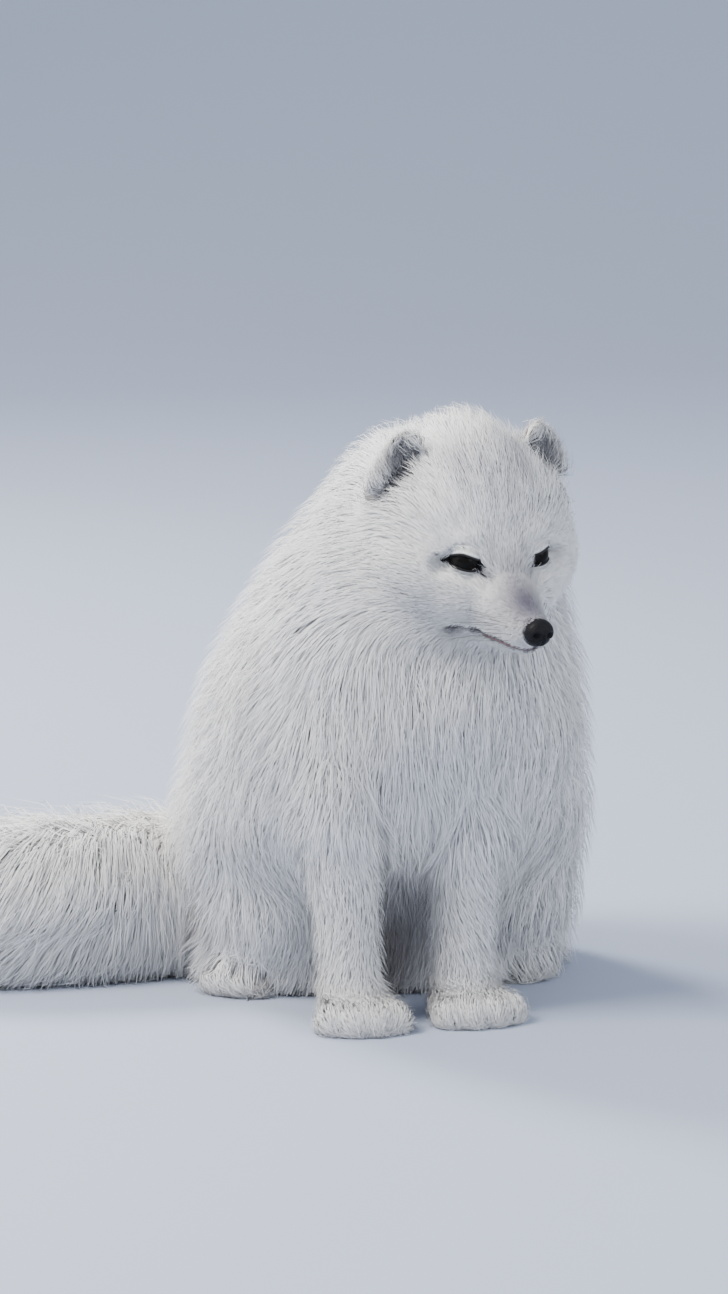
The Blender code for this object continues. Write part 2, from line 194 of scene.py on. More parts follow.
# Claws and whiskers
CLAWS = 4                              # to a paw
CLAW_FIRST, CLAW_STEP = 0.17, 0.22     # places across the paw, to its width
CLAW_HEIGHT = 0.0075
CLAW_SUNK = 0.0035                     # how far a claw starts inside the skin
CLAW_STATIONS = ((0.0, 0.0017), (0.3, 0.0016), (0.6, 0.0012), (0.85, 0.0007), (1.0, 0.00012))
WHISKER_ROWS, WHISKERS_IN_ROW = 3, 4
WHISKER_FIRST = (12.0, -46.0, -26.0)   # root of the first one on the left, in the head's frame
WHISKER_STEP, WHISKER_ROW_STEP = 6.5, 4.2
WHISKER_RADIUS = 0.00022
WHISKER_POINTS = 7


# ---------------------------------------------------------------- small helpers
def centre_of(node):
    low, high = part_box(node)
    return (low + high) / 2


def head_frame():
    """Turn and place of the head's frame, from where the eyeballs are."""
    left, right = centre_of("eye_left"), centre_of("eye_right")
    across = left - right
    turn = Matrix.Rotation(math.atan2(across.y, across.x), 3, "Z") @ Matrix.Rotation(HEAD_PITCH, 3, "X")
    middle = (left + right) / 2
    return turn, middle - turn @ (Vector((0.0, EYE_CENTRE[1], EYE_CENTRE[2])) * MM)


HEAD_TURN, HEAD_AT = head_frame()


def on_head(point, side=1):
    """A point given in the head's frame, on the left side or mirrored to the right."""
    x, y, z = point
    return HEAD_AT + HEAD_TURN @ (Vector((side * x, y, z)) * MM)


def head_coordinates(co):
    """Points of the model in the head's frame, in millimetres."""
    return (co - np.array(HEAD_AT)) @ np.array(HEAD_TURN) / MM


def smoothstep(low, high, value):
    t = np.clip((value - low) / (high - low), 0.0, 1.0)
    return t * t * (3.0 - 2.0 * t)


def unit(vectors):
    return vectors / np.maximum(np.linalg.norm(vectors, axis=-1, keepdims=True), 1e-9)


def in_surface(vectors, normals):
    """The part of each vector that lies in the surface."""
    return vectors - normals * np.sum(vectors * normals, axis=-1, keepdims=True)


def ripples(points, size, seed, waves=7):
    """Smooth wandering value of about -1 to 1 at each point, with ripples of about the given size."""
    rng = np.random.default_rng(seed)
    total = np.zeros(len(points))
    for _ in range(waves):
        way = unit(rng.normal(size=3)) * rng.uniform(0.7, 1.5) * 2 * math.pi / size
        total += np.sin(points @ way + rng.uniform(0, 2 * math.pi))
    return total / math.sqrt(waves)


def link(obj):
    bpy.context.scene.collection.objects.link(obj)
    return obj


def object_from(bm, name, mat):
    """Finished object of a bmesh, riding on the body."""
    mesh = bpy.data.meshes.new(name)
    bm.to_mesh(mesh)
    bm.free()
    mesh.shade_smooth()
    mesh.materials.append(mat)
    obj = link(bpy.data.objects.new(name, mesh))
    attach(obj, "root")
    return obj


def mesh_points(mesh):
    co = np.empty(len(mesh.vertices) * 3, np.float32)
    mesh.vertices.foreach_get("co", co)
    return co.reshape(-1, 3).astype(float)


def mesh_edges(mesh):
    ends = np.empty(len(mesh.edges) * 2, np.int32)
    mesh.edges.foreach_get("vertices", ends)
    return ends.reshape(-1, 2)


def mesh_normals(mesh):
    normals = np.empty(len(mesh.vertices) * 3, np.float32)
    mesh.vertex_normals.foreach_get("vector", normals)
    return normals.reshape(-1, 3).astype(float)


def set_points(mesh, co):
    mesh.vertices.foreach_set("co", co.astype(np.float32).ravel())
    mesh.update()


def neighbour_mean(values, edges):
    """Mean of each point's value and those of its neighbours."""
    count = len(values)
    values = values.reshape(count, -1)
    ends = np.concatenate([edges[:, 0], edges[:, 1]])
    others = np.concatenate([edges[:, 1], edges[:, 0]])
    share = np.bincount(ends, minlength=count) + 1.0
    sums = [np.bincount(ends, weights=values[others, k], minlength=count) for k in range(values.shape[1])]
    return (np.stack(sums, axis=1) + values) / share[:, None]


def spread(values, edges, rounds):
    for _ in range(rounds):
        values = neighbour_mean(values, edges)
    return values


ATTRIBUTE_FIELDS = {"FLOAT": "value", "INT": "value", "FLOAT_VECTOR": "vector", "FLOAT_COLOR": "color"}


def add_attribute(mesh, name, kind, values):
    field = ATTRIBUTE_FIELDS[kind]
    attribute = mesh.attributes.new(name, kind, "POINT")
    attribute.data.foreach_set(field, np.asarray(values, np.int32 if kind == "INT" else np.float32).ravel())


def read_attribute(mesh, name, width):
    attribute = mesh.attributes[name]
    field = ATTRIBUTE_FIELDS[attribute.data_type]
    values = np.empty(len(attribute.data) * width, np.int32 if attribute.data_type == "INT" else np.float32)
    attribute.data.foreach_get(field, values)
    return values.reshape(-1, width) if width > 1 else values


# ---------------------------------------------------------------- materials
def new_material(name):
    mat = bpy.data.materials.new(name)
    mat.use_nodes = True
    tree = mat.node_tree
    return mat, tree, tree.nodes["Principled BSDF"]


def object_texture(tree, kind, scale):
    """Texture node on the object's own coordinates."""
    where = tree.nodes.new("ShaderNodeTexCoord")
    texture = tree.nodes.new(kind)
    texture.inputs["Scale"].default_value = scale
    tree.links.new(where.outputs["Object"], texture.inputs["Vector"])
    return texture


def object_noise(tree, scale, detail=3.0):
    noise = object_texture(tree, "ShaderNodeTexNoise", scale)
    noise.inputs["Detail"].default_value = detail
    return noise


def colour_between(tree, shader, source, low, high):
    """Colours the shader from low to high as the source goes from 0 to 1."""
    ramp = tree.nodes.new("ShaderNodeValToRGB")
    ramp.color_ramp.elements[0].color = (*low, 1.0)
    ramp.color_ramp.elements[1].color = (*high, 1.0)
    tree.links.new(source, ramp.inputs["Fac"])
    tree.links.new(ramp.outputs["Color"], shader.inputs["Base Color"])


def raise_by(tree, shader, source, strength, depth):
    """Bump node between the source and the shader."""
    relief = tree.nodes.new("ShaderNodeBump")
    relief.inputs["Strength"].default_value = strength
    relief.inputs["Distance"].default_value = depth
    tree.links.new(source, relief.inputs["Height"])
    tree.links.new(relief.outputs["Normal"], shader.inputs["Normal"])
    return relief


def set_inputs(shader, **values):
    """Sets inputs of the shader by their names, with _ for a space."""
    for name, value in values.items():
        shader.inputs[name.replace("_", " ")].default_value = value


def coat_material(name, roughness, bump):
    """Fur whose colour is carried by the mesh, so that skin and tufts have the same markings."""
    mat, tree, shader = new_material(name)
    links = tree.links
    colour = tree.nodes.new("ShaderNodeAttribute")
    colour.attribute_name = "coat_colour"
    noise = object_noise(tree, 90.0)
    shade = tree.nodes.new("ShaderNodeMapRange")
    shade.inputs["To Min"].default_value = 0.93
    shade.inputs["To Max"].default_value = 1.03
    links.new(noise.outputs["Fac"], shade.inputs["Value"])
    tint = tree.nodes.new("ShaderNodeVectorMath")
    tint.operation = "SCALE"
    links.new(colour.outputs["Color"], tint.inputs[0])
    links.new(shade.outputs["Result"], tint.inputs["Scale"])
    links.new(tint.outputs["Vector"], shader.inputs["Base Color"])
    set_inputs(shader, Roughness=roughness, Specular_IOR_Level=0.25, Sheen_Weight=0.15)
    if bump:
        raise_by(tree, shader, object_noise(tree, 1300.0, 2.0).outputs["Fac"], bump, 0.0006)
    return mat


def fur_material():
    name = "winter_fur_tufts"
    return bpy.data.materials.get(name) or coat_material(name, 0.62, 0.0)


def skin_material():
    return coat_material("winter_fur_skin", 0.7, 0.5)


def nose_material():
    """Black pebbled leather, faintly moist."""
    mat, tree, shader = new_material("moist_nose_leather")
    cells = object_texture(tree, "ShaderNodeTexVoronoi", 1100.0).outputs["Distance"]
    raise_by(tree, shader, cells, 0.5, 0.0005).invert = True
    colour_between(tree, shader, cells, (0.003, 0.003, 0.004), (0.010, 0.009, 0.010))
    set_inputs(shader, Roughness=0.5, Specular_IOR_Level=0.12, Coat_Weight=0.04, Coat_Roughness=0.3)
    return mat


def eye_material(iris):
    """Clear wet eye: pupil, iris and dark white by the distance from the pupil's middle."""
    mat, tree, shader = new_material("wet_eye")
    place = tree.nodes.new("ShaderNodeAttribute")
    place.attribute_name = "from_pupil"
    noise = object_noise(tree, 900.0, 4.0)
    fibre = tree.nodes.new("ShaderNodeMath")
    fibre.operation = "MULTIPLY_ADD"
    fibre.inputs[1].default_value = 0.06
    tree.links.new(noise.outputs["Fac"], fibre.inputs[0])
    tree.links.new(place.outputs["Fac"], fibre.inputs[2])
    ramp = tree.nodes.new("ShaderNodeValToRGB")
    ramp.color_ramp.interpolation = "EASE"
    stops = ((0.0, (0.002, 0.002, 0.002)), (0.22, (0.002, 0.002, 0.002)), (0.27, iris),
             (0.50, iris), (0.58, (0.004, 0.0035, 0.003)), (0.75, (0.012, 0.010, 0.009)))
    elements = ramp.color_ramp.elements
    while len(elements) < len(stops):
        elements.new(0.5)
    for element, (at, colour) in zip(elements, stops):
        element.position = at
        element.color = (*colour, 1.0)
    tree.links.new(fibre.outputs["Value"], ramp.inputs["Fac"])
    tree.links.new(ramp.outputs["Color"], shader.inputs["Base Color"])
    set_inputs(shader, Roughness=0.25, Specular_IOR_Level=0.06, Coat_Weight=0.10, Coat_Roughness=0.04)
    return mat


def horn_material():
    """Dark claw horn, mottled with paler horn."""
    mat, tree, shader = new_material("claw_horn")
    noise = object_noise(tree, 700.0).outputs["Fac"]
    colour_between(tree, shader, noise, (0.030, 0.025, 0.022), (0.10, 0.085, 0.07))
    set_inputs(shader, Roughness=0.4)
    return mat


def whisker_material():
    mat, tree, shader = new_material("whisker_hair")
    noise = object_noise(tree, 60.0).outputs["Fac"]
    colour_between(tree, shader, noise, (0.05, 0.045, 0.045), (0.22, 0.20, 0.20))
    set_inputs(shader, Roughness=0.4)
    return mat


# ---------------------------------------------------------------- the skin
def merged_copy(node):
    """Bmesh of a node with its loose triangles joined up."""
    bm = bmesh.new()
    bm.from_mesh(NODES[node].data)
    bmesh.ops.remove_doubles(bm, verts=bm.verts, dist=0.00001)
    bm.normal_update()
    return bm


def fused_flesh(swell, voxel):
    """One closed mesh of all the nodes, each swollen a little so that the clearances close. The eyes and nose
    are in it too, so that the skin runs on behind them with no socket."""
    whole = bmesh.new()
    for name in (*FLESH, "eye_left", "eye_right", "nose"):
        part = merged_copy(name)
        steps = [(v, v.normal * swell) for v in part.verts]
        for v, step in steps:
            v.co += step
        held = bpy.data.meshes.new("held")
        part.to_mesh(held)
        part.free()
        whole.from_mesh(held)
        bpy.data.meshes.remove(held)
    mesh = bpy.data.meshes.new("skin")
    whole.to_mesh(mesh)
    whole.free()
    obj = link(bpy.data.objects.new("skin", mesh))
    remesh = obj.modifiers.new("fuse", "REMESH")
    remesh.mode = "VOXEL"
    remesh.voxel_size = voxel
    bpy.context.view_layer.update()
    fused = bpy.data.meshes.new_from_object(obj.evaluated_get(bpy.context.evaluated_depsgraph_get()))
    obj.modifiers.clear()
    obj.data = fused
    return obj


def keep_largest(mesh):
    """Drops the small closed bubbles that the fusing may leave inside."""
    bm = bmesh.new()
    bm.from_mesh(mesh)
    seen = set()
    islands = []
    for start in bm.verts:
        if start.index in seen:
            continue
        seen.add(start.index)
        island, front = [start], [start]
        while front:
            v = front.pop()
            for e in v.link_edges:
                other = e.other_vert(v)
                if other.index not in seen:
                    seen.add(other.index)
                    island.append(other)
                    front.append(other)
        islands.append(island)
    largest = max(islands, key=len)
    stray = [v for island in islands if island is not largest for v in island]
    bmesh.ops.delete(bm, geom=stray, context="VERTS")
    bm.to_mesh(mesh)
    bm.free()


def even_out(mesh, rounds):
    """Smooths the voxel steps without shrinking the thin parts."""
    edges = mesh_edges(mesh)
    co = mesh_points(mesh)
    for _ in range(rounds):
        co = co + 0.55 * (neighbour_mean(co, edges) - co)
        co = co - 0.58 * (neighbour_mean(co, edges) - co)
    set_points(mesh, co)


def fill_creases(mesh, rounds):
    """Fills the hollow between head and body, where the ruff hides it, and leaves the face as it is."""
    edges = mesh_edges(mesh)
    co = mesh_points(mesh)
    place = head_coordinates(co)
    behind = np.maximum(smoothstep(0.0, 26.0, place[:, 1]), smoothstep(-54.0, -66.0, place[:, 2]))
    behind *= smoothstep(0.15, 0.21, co[:, 2])
    ears = smoothstep(0.0, 10.0, place[:, 2] - 14.0) * smoothstep(30.0, 40.0, np.abs(place[:, 0]))
    behind *= 1.0 - ears
    for _ in range(rounds):
        normals = unit(spread(mesh_normals(mesh), edges, 1))
        step = np.sum((neighbour_mean(co, edges) - co) * normals, axis=1)
        co = co + normals * (np.maximum(step, 0.0) * behind)[:, None] * 1.5
        set_points(mesh, co)


def plump(mesh):
    """Fuller temples, cheeks and haunch, where the coat stands off the body."""
    co = mesh_points(mesh)
    normals = unit(spread(mesh_normals(mesh), mesh_edges(mesh), 6))
    place = head_coordinates(co)
    push = np.zeros(len(co))
    for centre, reach, amount in HEAD_FULLNESS:
        for side in (1, -1):
            gap = np.linalg.norm(place - np.array((side * centre[0], centre[1], centre[2])), axis=1)
            push += amount * np.exp(-(gap / reach) ** 2)
    for centre, radii, amount in BODY_FULLNESS:
        rel = (co - np.array(centre)) / np.array(radii)
        push += amount * np.exp(-np.sum(rel * rel, axis=1))
    away = np.full(len(co), 1.0)
    for x, y, z in dense_line(TAIL_PARTING, 0.006):
        away = np.minimum(away, np.linalg.norm(co - np.array((x, y, z)), axis=1))
    push -= PARTING_DEPTH * np.exp(-(away / PARTING_REACH) ** 2) * (co[:, 1] < 0.10)
    set_points(mesh, co + normals * push[:, None] * MM)


def node_surface():
    """Tree over every flesh node's faces, and the node that each face belongs to."""
    corners, faces, owner = [], [], []
    for index, name in enumerate(FLESH):
        mesh = NODES[name].data
        base = len(corners)
        corners.extend(v.co.copy() for v in mesh.vertices)
        faces.extend([base + i for i in polygon.vertices] for polygon in mesh.polygons)
        owner.extend([index] * len(mesh.polygons))
    return bvhtree.BVHTree.FromPolygons(corners, faces), np.array(owner)


def nearest_node(co):
    """Index in FLESH of the node nearest to each point."""
    tree, owner = node_surface()
    return owner[np.array([tree.find_nearest(p)[2] for p in co.tolist()])]


def node_shares(label, edges, rounds):
    """How much each node has a say at each point, with soft borders between them."""
    shares = np.zeros((len(label), len(FLESH)))
    shares[np.arange(len(label)), label] = 1.0
    return spread(shares, edges, rounds)


def coat_sizes(co, shares):
    """Depth, length and width of the coat in metres and tufts to a square metre, at each point."""
    table = np.array([COAT[name] for name in FLESH], float)
    sizes = shares @ table
    place = head_coordinates(co)
    head = shares[:, FLESH.index("head")]
    behind = smoothstep(2.0, 46.0, place[:, 1] + 0.35 * np.abs(place[:, 2] + 5.0) - 8.0)
    short = (head * (1.0 - behind))[:, None]
    sizes = sizes * (1.0 - short) + np.array(FACE_FUR) * short
    sizes[:, 0:3] *= MM
    sizes[:, 3] *= 10000.0
    return sizes


def pull_in(mesh, swell):
    """Brings the surface in by the depth of the coat, less where it rests on the floor."""
    edges = mesh_edges(mesh)
    co = mesh_points(mesh)
    shares = node_shares(nearest_node(co), edges, 14)
    depth = coat_sizes(co, shares)[:, 0] + swell
    depth *= smoothstep(-0.004, 0.03, co[:, 2]) * 0.94 + 0.06
    steps = 4
    for _ in range(steps):
        normals = unit(spread(mesh_normals(mesh), edges, 3))
        co = co - normals * depth[:, None] / steps
        co = co + 0.25 * (neighbour_mean(co, edges) - co)
        co[:, 2] = np.maximum(co[:, 2], 0.0006)
        set_points(mesh, co)


def refine(mesh, wanted, rounds):
    """Splits the edges that lie wholly in the wanted part."""
    bm = bmesh.new()
    bm.from_mesh(mesh)
    for _ in range(rounds):
        co = np.array([v.co for v in bm.verts])
        inside = wanted(co)
        bm.verts.ensure_lookup_table()
        bm.verts.index_update()
        edges = [e for e in bm.edges if inside[e.verts[0].index] and inside[e.verts[1].index]]
        bmesh.ops.subdivide_edges(bm, edges=edges, cuts=1, use_grid_fill=True)
    bm.to_mesh(mesh)
    bm.free()


class Eye:
    """Axes of one eye, in the head's frame: along its slit, out of the head, and up."""

    def __init__(self, side):
        self.centre = np.array((side * EYE_CENTRE[0], EYE_CENTRE[1], EYE_CENTRE[2]))
        inner = np.array((side * INNER_CORNER[0], INNER_CORNER[1], INNER_CORNER[2]))
        outer = np.array((side * OUTER_CORNER[0], OUTER_CORNER[1], OUTER_CORNER[2]))
        along = outer - inner
        along[2] = 0.0
        self.half = np.linalg.norm(along) / 2
        self.along = along / np.linalg.norm(along)
        self.out = np.array((side * abs(self.along[1]), -abs(self.along[0]), 0.0))
        middle = (inner + outer) / 2 - self.centre
        self.shift = middle @ self.along
        self.level = middle[2]
        self.slant = (outer[2] - inner[2]) / (2 * self.half)
        self.brink = middle @ self.out

    def plane(self, place):
        """Along, up and out coordinates of points about the eyeball's centre."""
        rel = place - self.centre
        return rel @ self.along, rel[:, 2], rel @ self.out

    def from_slit(self, a, b):
        """Rough distance to the edge of the slit, negative inside it."""
        t = (a - self.shift) / self.half
        power = np.where(t < 0.0, 0.6, 1.0)
        arch = np.maximum(0.0, 1.0 - t * t) ** power
        chord = self.level + self.slant * (a - self.shift)
        upper = chord + UPPER_ARCH * arch
        lower = chord + LOWER_ARCH * arch
        beyond = np.maximum(np.abs(t) - 1.0, 0.0) * self.half
        across = np.maximum(b - upper, lower - b)
        return np.where(beyond > 0.0, np.hypot(beyond, b - chord), across)


EYES = (Eye(1), Eye(-1))


def near_eye(place, reach):
    near = np.zeros(len(place), bool)
    for eye in EYES:
        a, b, g = eye.plane(place)
        near |= (np.hypot(a, b) < reach) & (g > -4.0)
    return near


def near_slit(place, reach):
    near = np.zeros(len(place), bool)
    for eye in EYES:
        a, b, g = eye.plane(place)
        near |= (np.abs(eye.from_slit(a, b)) < reach) & (np.hypot(a, b) < 22.0) & (g > -4.0)
    return near


def dense_line(points, spacing):
    """Points along a run of straight spans, in the head's frame."""
    made = []
    for a, b in zip(points, points[1:]):
        a, b = np.array(a), np.array(b)
        count = max(1, int(np.linalg.norm(b - a) / spacing))
        made.extend(a + (b - a) * i / count for i in range(count))
    made.append(np.array(points[-1]))
    return np.array(made)


def laid_on(mesh, line):
    """The points of a line in the head's frame, moved to the nearest places on the skin."""
    corners = [tuple(p) for p in head_coordinates(mesh_points(mesh))]
    tree = bvhtree.BVHTree.FromPolygons(corners, [tuple(f.vertices) for f in mesh.polygons])
    return np.array([tree.find_nearest(p)[0] for p in line.tolist()])


def lip_line(mesh):
    """Both sides of the mouth, from corner to corner through the front."""
    left = dense_line(MOUTH, 0.7)
    return laid_on(mesh, np.concatenate([left, left * np.array((-1.0, 1.0, 1.0))]))


def cleft_line(mesh):
    return laid_on(mesh, dense_line(PHILTRUM, 0.7))


def distance_to(place, line):
    """Distance from each point to a line of points, and the height above the nearest one."""
    tree = kdtree.KDTree(len(line))
    for i, p in enumerate(line):
        tree.insert(p, i)
    tree.balance()
    near = np.full(len(place), 99.0)
    rise = np.zeros(len(place))
    low, high = line.min(axis=0) - 12.0, line.max(axis=0) + 12.0
    for k in np.flatnonzero(np.all((place > low) & (place < high), axis=1)):
        at, _, gap = tree.find(place[k])
        near[k] = gap
        rise[k] = place[k][2] - at[2]
    return near, rise


def shape_eyes(mesh):
    """Lids that wrap the eyeballs, an open slit between them, and recessed dark corners."""
    co = mesh_points(mesh)
    place = head_coordinates(co)
    for eye in EYES:
        a, b, g = eye.plane(place)
        gap = eye.from_slit(a, b)
        reach = np.hypot(a - eye.shift, b)
        mine = (reach < LID_REACH) & (g > -6.0)
        lid = np.sqrt(np.maximum((EYE_RADIUS + LID) ** 2 - a * a - b * b, 0.0))
        dome = np.maximum(lid, eye.brink + 0.3)
        ball = np.sqrt(np.maximum(EYE_RADIUS ** 2 - a * a - b * b, 0.0))
        sunk = np.maximum(np.minimum(ball, dome) - EYE_SUNK, eye.brink - 2.0)
        open_part = smoothstep(0.45, -0.45, gap)
        fold = LID_FOLD * np.exp(-((gap - 4.6) / 1.3) ** 2) * (b > eye.level + 2.0)
        hold = smoothstep(9.0, 1.8, gap)
        shaped = g + (dome - fold - g) * hold
        shaped = shaped * (1.0 - open_part) + sunk * open_part
        place[mine] += ((shaped - g)[:, None] * eye.out)[mine]
    set_points(mesh, place * MM @ np.array(HEAD_TURN).T + np.array(HEAD_AT))


def shape_mouth(mesh, lips, cleft_points):
    """Groove between the lips with a slight roll on each side, and the cleft under the nose."""
    co = mesh_points(mesh)
    normals = mesh_normals(mesh)
    place = head_coordinates(co)
    gap, _ = distance_to(place, lips)
    cleft, _ = distance_to(place, cleft_points)
    push = LIP_ROLL * np.exp(-((gap - 3.2) / 1.3) ** 2) - LIP_GROOVE * np.exp(-(gap / 1.4) ** 2)
    push -= CLEFT_DEPTH * np.exp(-(cleft / 1.0) ** 2)
    co = co + normals * push[:, None] * MM
    behind_pad = smoothstep(1.12, 0.85, nose_reach(co)) * 5.0 * MM
    set_points(mesh, co + behind_pad[:, None] * np.array(HEAD_TURN)[:, 1])


def nose_reach(co):
    """Distance from the middle of the nose pad, as a share of its size."""
    return np.linalg.norm((head_coordinates(co) - np.array(NOSE_CENTRE)) / np.array(NOSE_SIZE), axis=1)


def ear_axes(side):
    foot = np.array((side * EAR_FOOT[0], EAR_FOOT[1], EAR_FOOT[2]))
    tip = np.array((side * EAR_TIP[0], EAR_TIP[1], EAR_TIP[2]))
    out = unit(np.array((side * EAR_OPENING[0], EAR_OPENING[1], EAR_OPENING[2])))
    up = tip - foot
    length = np.linalg.norm(up)
    up = up / length
    out = unit(out - up * (out @ up))
    return foot, up, out, np.cross(up, out), length


def turn_ears(mesh):
    """Turns the ears forward and broadens them, fading into the head at their roots."""
    edges = mesh_edges(mesh)
    co = mesh_points(mesh)
    names = np.array(FLESH)[nearest_node(co)]
    for side, name in ((1, "ear_left"), (-1, "ear_right")):
        place = head_coordinates(co)
        foot, up, out, across, length = ear_axes(side)
        rel = place - foot
        mine = spread((names == name).astype(float), edges, 8)[:, 0] * smoothstep(0.0, 0.4, rel @ up / length)
        turn = np.array(Matrix.Rotation(side * EAR_TURN, 3, Vector(up)))
        aside = (rel @ across)[:, None] * across
        upward = np.maximum(rel @ up, 0.0)[:, None] * up
        moved = foot + (rel + aside * (EAR_BROAD - 1.0) + upward * (EAR_TALL - 1.0)) @ turn.T
        place = place + (moved + np.array(EAR_SHIFT) - place) * mine[:, None]
        co = place * MM @ np.array(HEAD_TURN).T + np.array(HEAD_AT)
    set_points(mesh, co)


def ear_cup(place, normals_in_head):
    """How far each point is inside an ear's opening: 0 outside it, 1 in the middle of the bowl."""
    cup = np.zeros(len(place))
    for side in (1, -1):
        foot, up, out, across, length = ear_axes(side)
        rel = place - foot - np.array(EAR_SHIFT)
        along = rel @ up / length
        aside = rel @ across
        wide = EAR_HALF_WIDTH * np.sqrt(np.maximum(0.0, 1.0 - np.maximum(along, 0.0) ** 3))
        inside = np.maximum(0.0, 1.0 - (aside / np.maximum(wide, 0.1)) ** 2)
        inside *= smoothstep(0.06, 0.30, along) * smoothstep(1.04, 0.84, along)
        facing = smoothstep(0.15, 0.5, normals_in_head @ out) * (np.abs(rel @ out) < 18.0)
        cup = np.maximum(cup, inside * facing)
    return cup


def shape_ears(mesh):
    """Hollows out the ears on the side of their openings."""
    co = mesh_points(mesh)
    normals = mesh_normals(mesh) @ np.array(HEAD_TURN)
    place = head_coordinates(co)
    cup = ear_cup(place, normals)
    for side in (1, -1):
        out = ear_axes(side)[2]
        mine = place[:, 0] * side > 0
        place[mine] -= out * (EAR_HOLLOW * smoothstep(0.0, 0.8, cup))[mine, None]
    set_points(mesh, place * MM @ np.array(HEAD_TURN).T + np.array(HEAD_AT))


def tail_line():
    """Middle of the tail at even steps of x, from its root to its tip."""
    points = np.concatenate([mesh_points(NODES[name].data) for name in TAIL_PARTS])
    start, end = points[:, 0].max() - 0.03, points[:, 0].min() + 0.012
    made = []
    for x in np.linspace(start, end, 12):
        near = points[np.abs(points[:, 0] - x) < 0.02]
        made.append((x, *((near[:, 1:].min(axis=0) + near[:, 1:].max(axis=0)) / 2)))
    return np.array(made)


def lie_of_coat(co, normals, label, edges):
    """Direction in which the fur lies at each point, in the surface."""
    names = np.array(FLESH)[label]
    place = head_coordinates(co)
    turn = np.array(HEAD_TURN)
    down = np.array((0.0, 0.0, -1.0))
    way = np.tile(np.array((0.0, 0.55, -1.0)), (len(co), 1))

    on_chest = np.isin(names, ("chest", "foreleg_left", "foreleg_right"))
    backward = 0.5 * smoothstep(0.3, 0.9, np.abs(normals[:, 0])) * smoothstep(0.10, 0.16, co[:, 2])
    way[on_chest] = np.stack([np.zeros(len(co)), backward, -np.ones(len(co))], axis=1)[on_chest]
    head = np.isin(names, HEAD_PARTS)
    from_nose = unit(place - np.array(NOSE_CENTRE) * (0.0, 0.85, 1.0)) @ turn.T
    sag = smoothstep(0.0, 60.0, place[:, 1]) * 0.75 + 0.05
    sag *= smoothstep(40.0, 5.0, place[:, 2])
    way[head] = (from_nose + down * sag[:, None])[head]
    for side, name in ((1, "ear_left"), (-1, "ear_right")):
        way[names == name] = turn @ ear_axes(side)[1]
    paws = np.isin(names, FOREPAWS + HIND_PAWS)
    way[paws] = (0.0, -1.0, -0.35)

    tail = np.isin(names, TAIL_PARTS)
    line = tail_line()
    middle = np.stack([np.interp(-co[:, 0], -line[:, 0], line[:, k]) for k in range(3)], axis=1)
    tipward = smoothstep(-0.02, -0.20, co[:, 0])
    slope = np.gradient(line, axis=0)
    slope = unit(slope)
    route = np.stack([np.interp(-co[:, 0], -line[:, 0], slope[:, k]) for k in range(3)], axis=1)
    aside = unit((co - middle) * (1.0, 1.0, 0.0))
    droop = down * 1.0 + aside * 0.5
    way[tail] = (route * (0.15 + 1.1 * tipward)[:, None] + droop * (0.9 - 0.6 * tipward)[:, None])[tail]

    for _ in range(16):
        way = unit(in_surface(unit(way), normals))
        way = neighbour_mean(way, edges)
    way = unit(in_surface(way, normals))
    swirl = 0.22 * ripples(co, 0.07, 3)
    return unit(way + np.cross(normals, way) * swirl[:, None])


def blend_mark(colour, amount, mark):
    return colour * (1.0 - amount[:, None]) + np.array(mark) * amount[:, None]


def markings_and_shade(co, normals, white, cream):
    """Colour of the coat at each point, the same for the skin and for the tufts rooted on it, painted shade
    included.
    """
    place = head_coordinates(co)
    tone = (0.5 + 0.5 * ripples(co, 0.11, 5))[:, None]
    colour = np.array(white) * (1.0 - tone * 0.5) + np.array(cream) * tone * 0.5
    for centre, radii, mark, strength in FACE_MARKS:
        for side in ((1, -1) if centre[0] else (1,)):
            rel = (place - np.array((side * centre[0], centre[1], centre[2]))) / np.array(radii)
            colour = blend_mark(colour, strength * np.exp(-np.sum(rel * rel, axis=1)), mark)
    # the body's patches: darker fur at the tail's parting, painted shade between the forelegs, at the tail's
    # root and by the floor
    for centre, radii, mark, strength in BODY_MARKS_AND_SHADE:
        rel = (co - np.array(centre)) / np.array(radii)
        colour = blend_mark(colour, strength * np.exp(-np.sum(rel * rel, axis=1)), mark)
    streaks = smoothstep(0.55, 1.3, ripples(place * (1.0, 0.22, 0.22), 3.4, 9))
    streaks *= smoothstep(62.0, 40.0, place[:, 1]) * smoothstep(4.0, 22.0, place[:, 2])
    colour = blend_mark(colour, 0.35 * streaks, GREY)
    cup = ear_cup(place, normals @ np.array(HEAD_TURN))
    colour = blend_mark(colour, 0.85 * smoothstep(0.05, 0.7, cup), DARK_GREY)
    return colour


def bare_parts(co, lip_points, cleft_points):
    """Colour and share of the parts with no fur: the rims of the eyes and the lips."""
    place = head_coordinates(co)
    amount = np.zeros(len(co))
    for eye in EYES:
        a, b, g = eye.plane(place)
        gap = eye.from_slit(a, b)
        near = (np.hypot(a, b) < 24.0) & (g > -6.0)
        amount = np.maximum(amount, smoothstep(2.3, 1.4, gap) * near)
    gap, rise = distance_to(place, lip_points)
    cleft, _ = distance_to(place, cleft_points)
    lips = np.maximum(smoothstep(2.3, 1.6, gap), smoothstep(1.4, 0.8, cleft))
    lips = np.maximum(lips, smoothstep(1.16, 1.06, nose_reach(co)))
    dark = np.array((0.008, 0.007, 0.008))
    pink = np.array((0.42, 0.22, 0.20))
    pale = smoothstep(-0.3, -1.2, rise) * (lips > 0.0) * smoothstep(-12.0, -25.0, place[:, 1])
    colour = dark * (1.0 - pale[:, None]) + pink * pale[:, None]
    return colour, np.maximum(amount, lips), gap


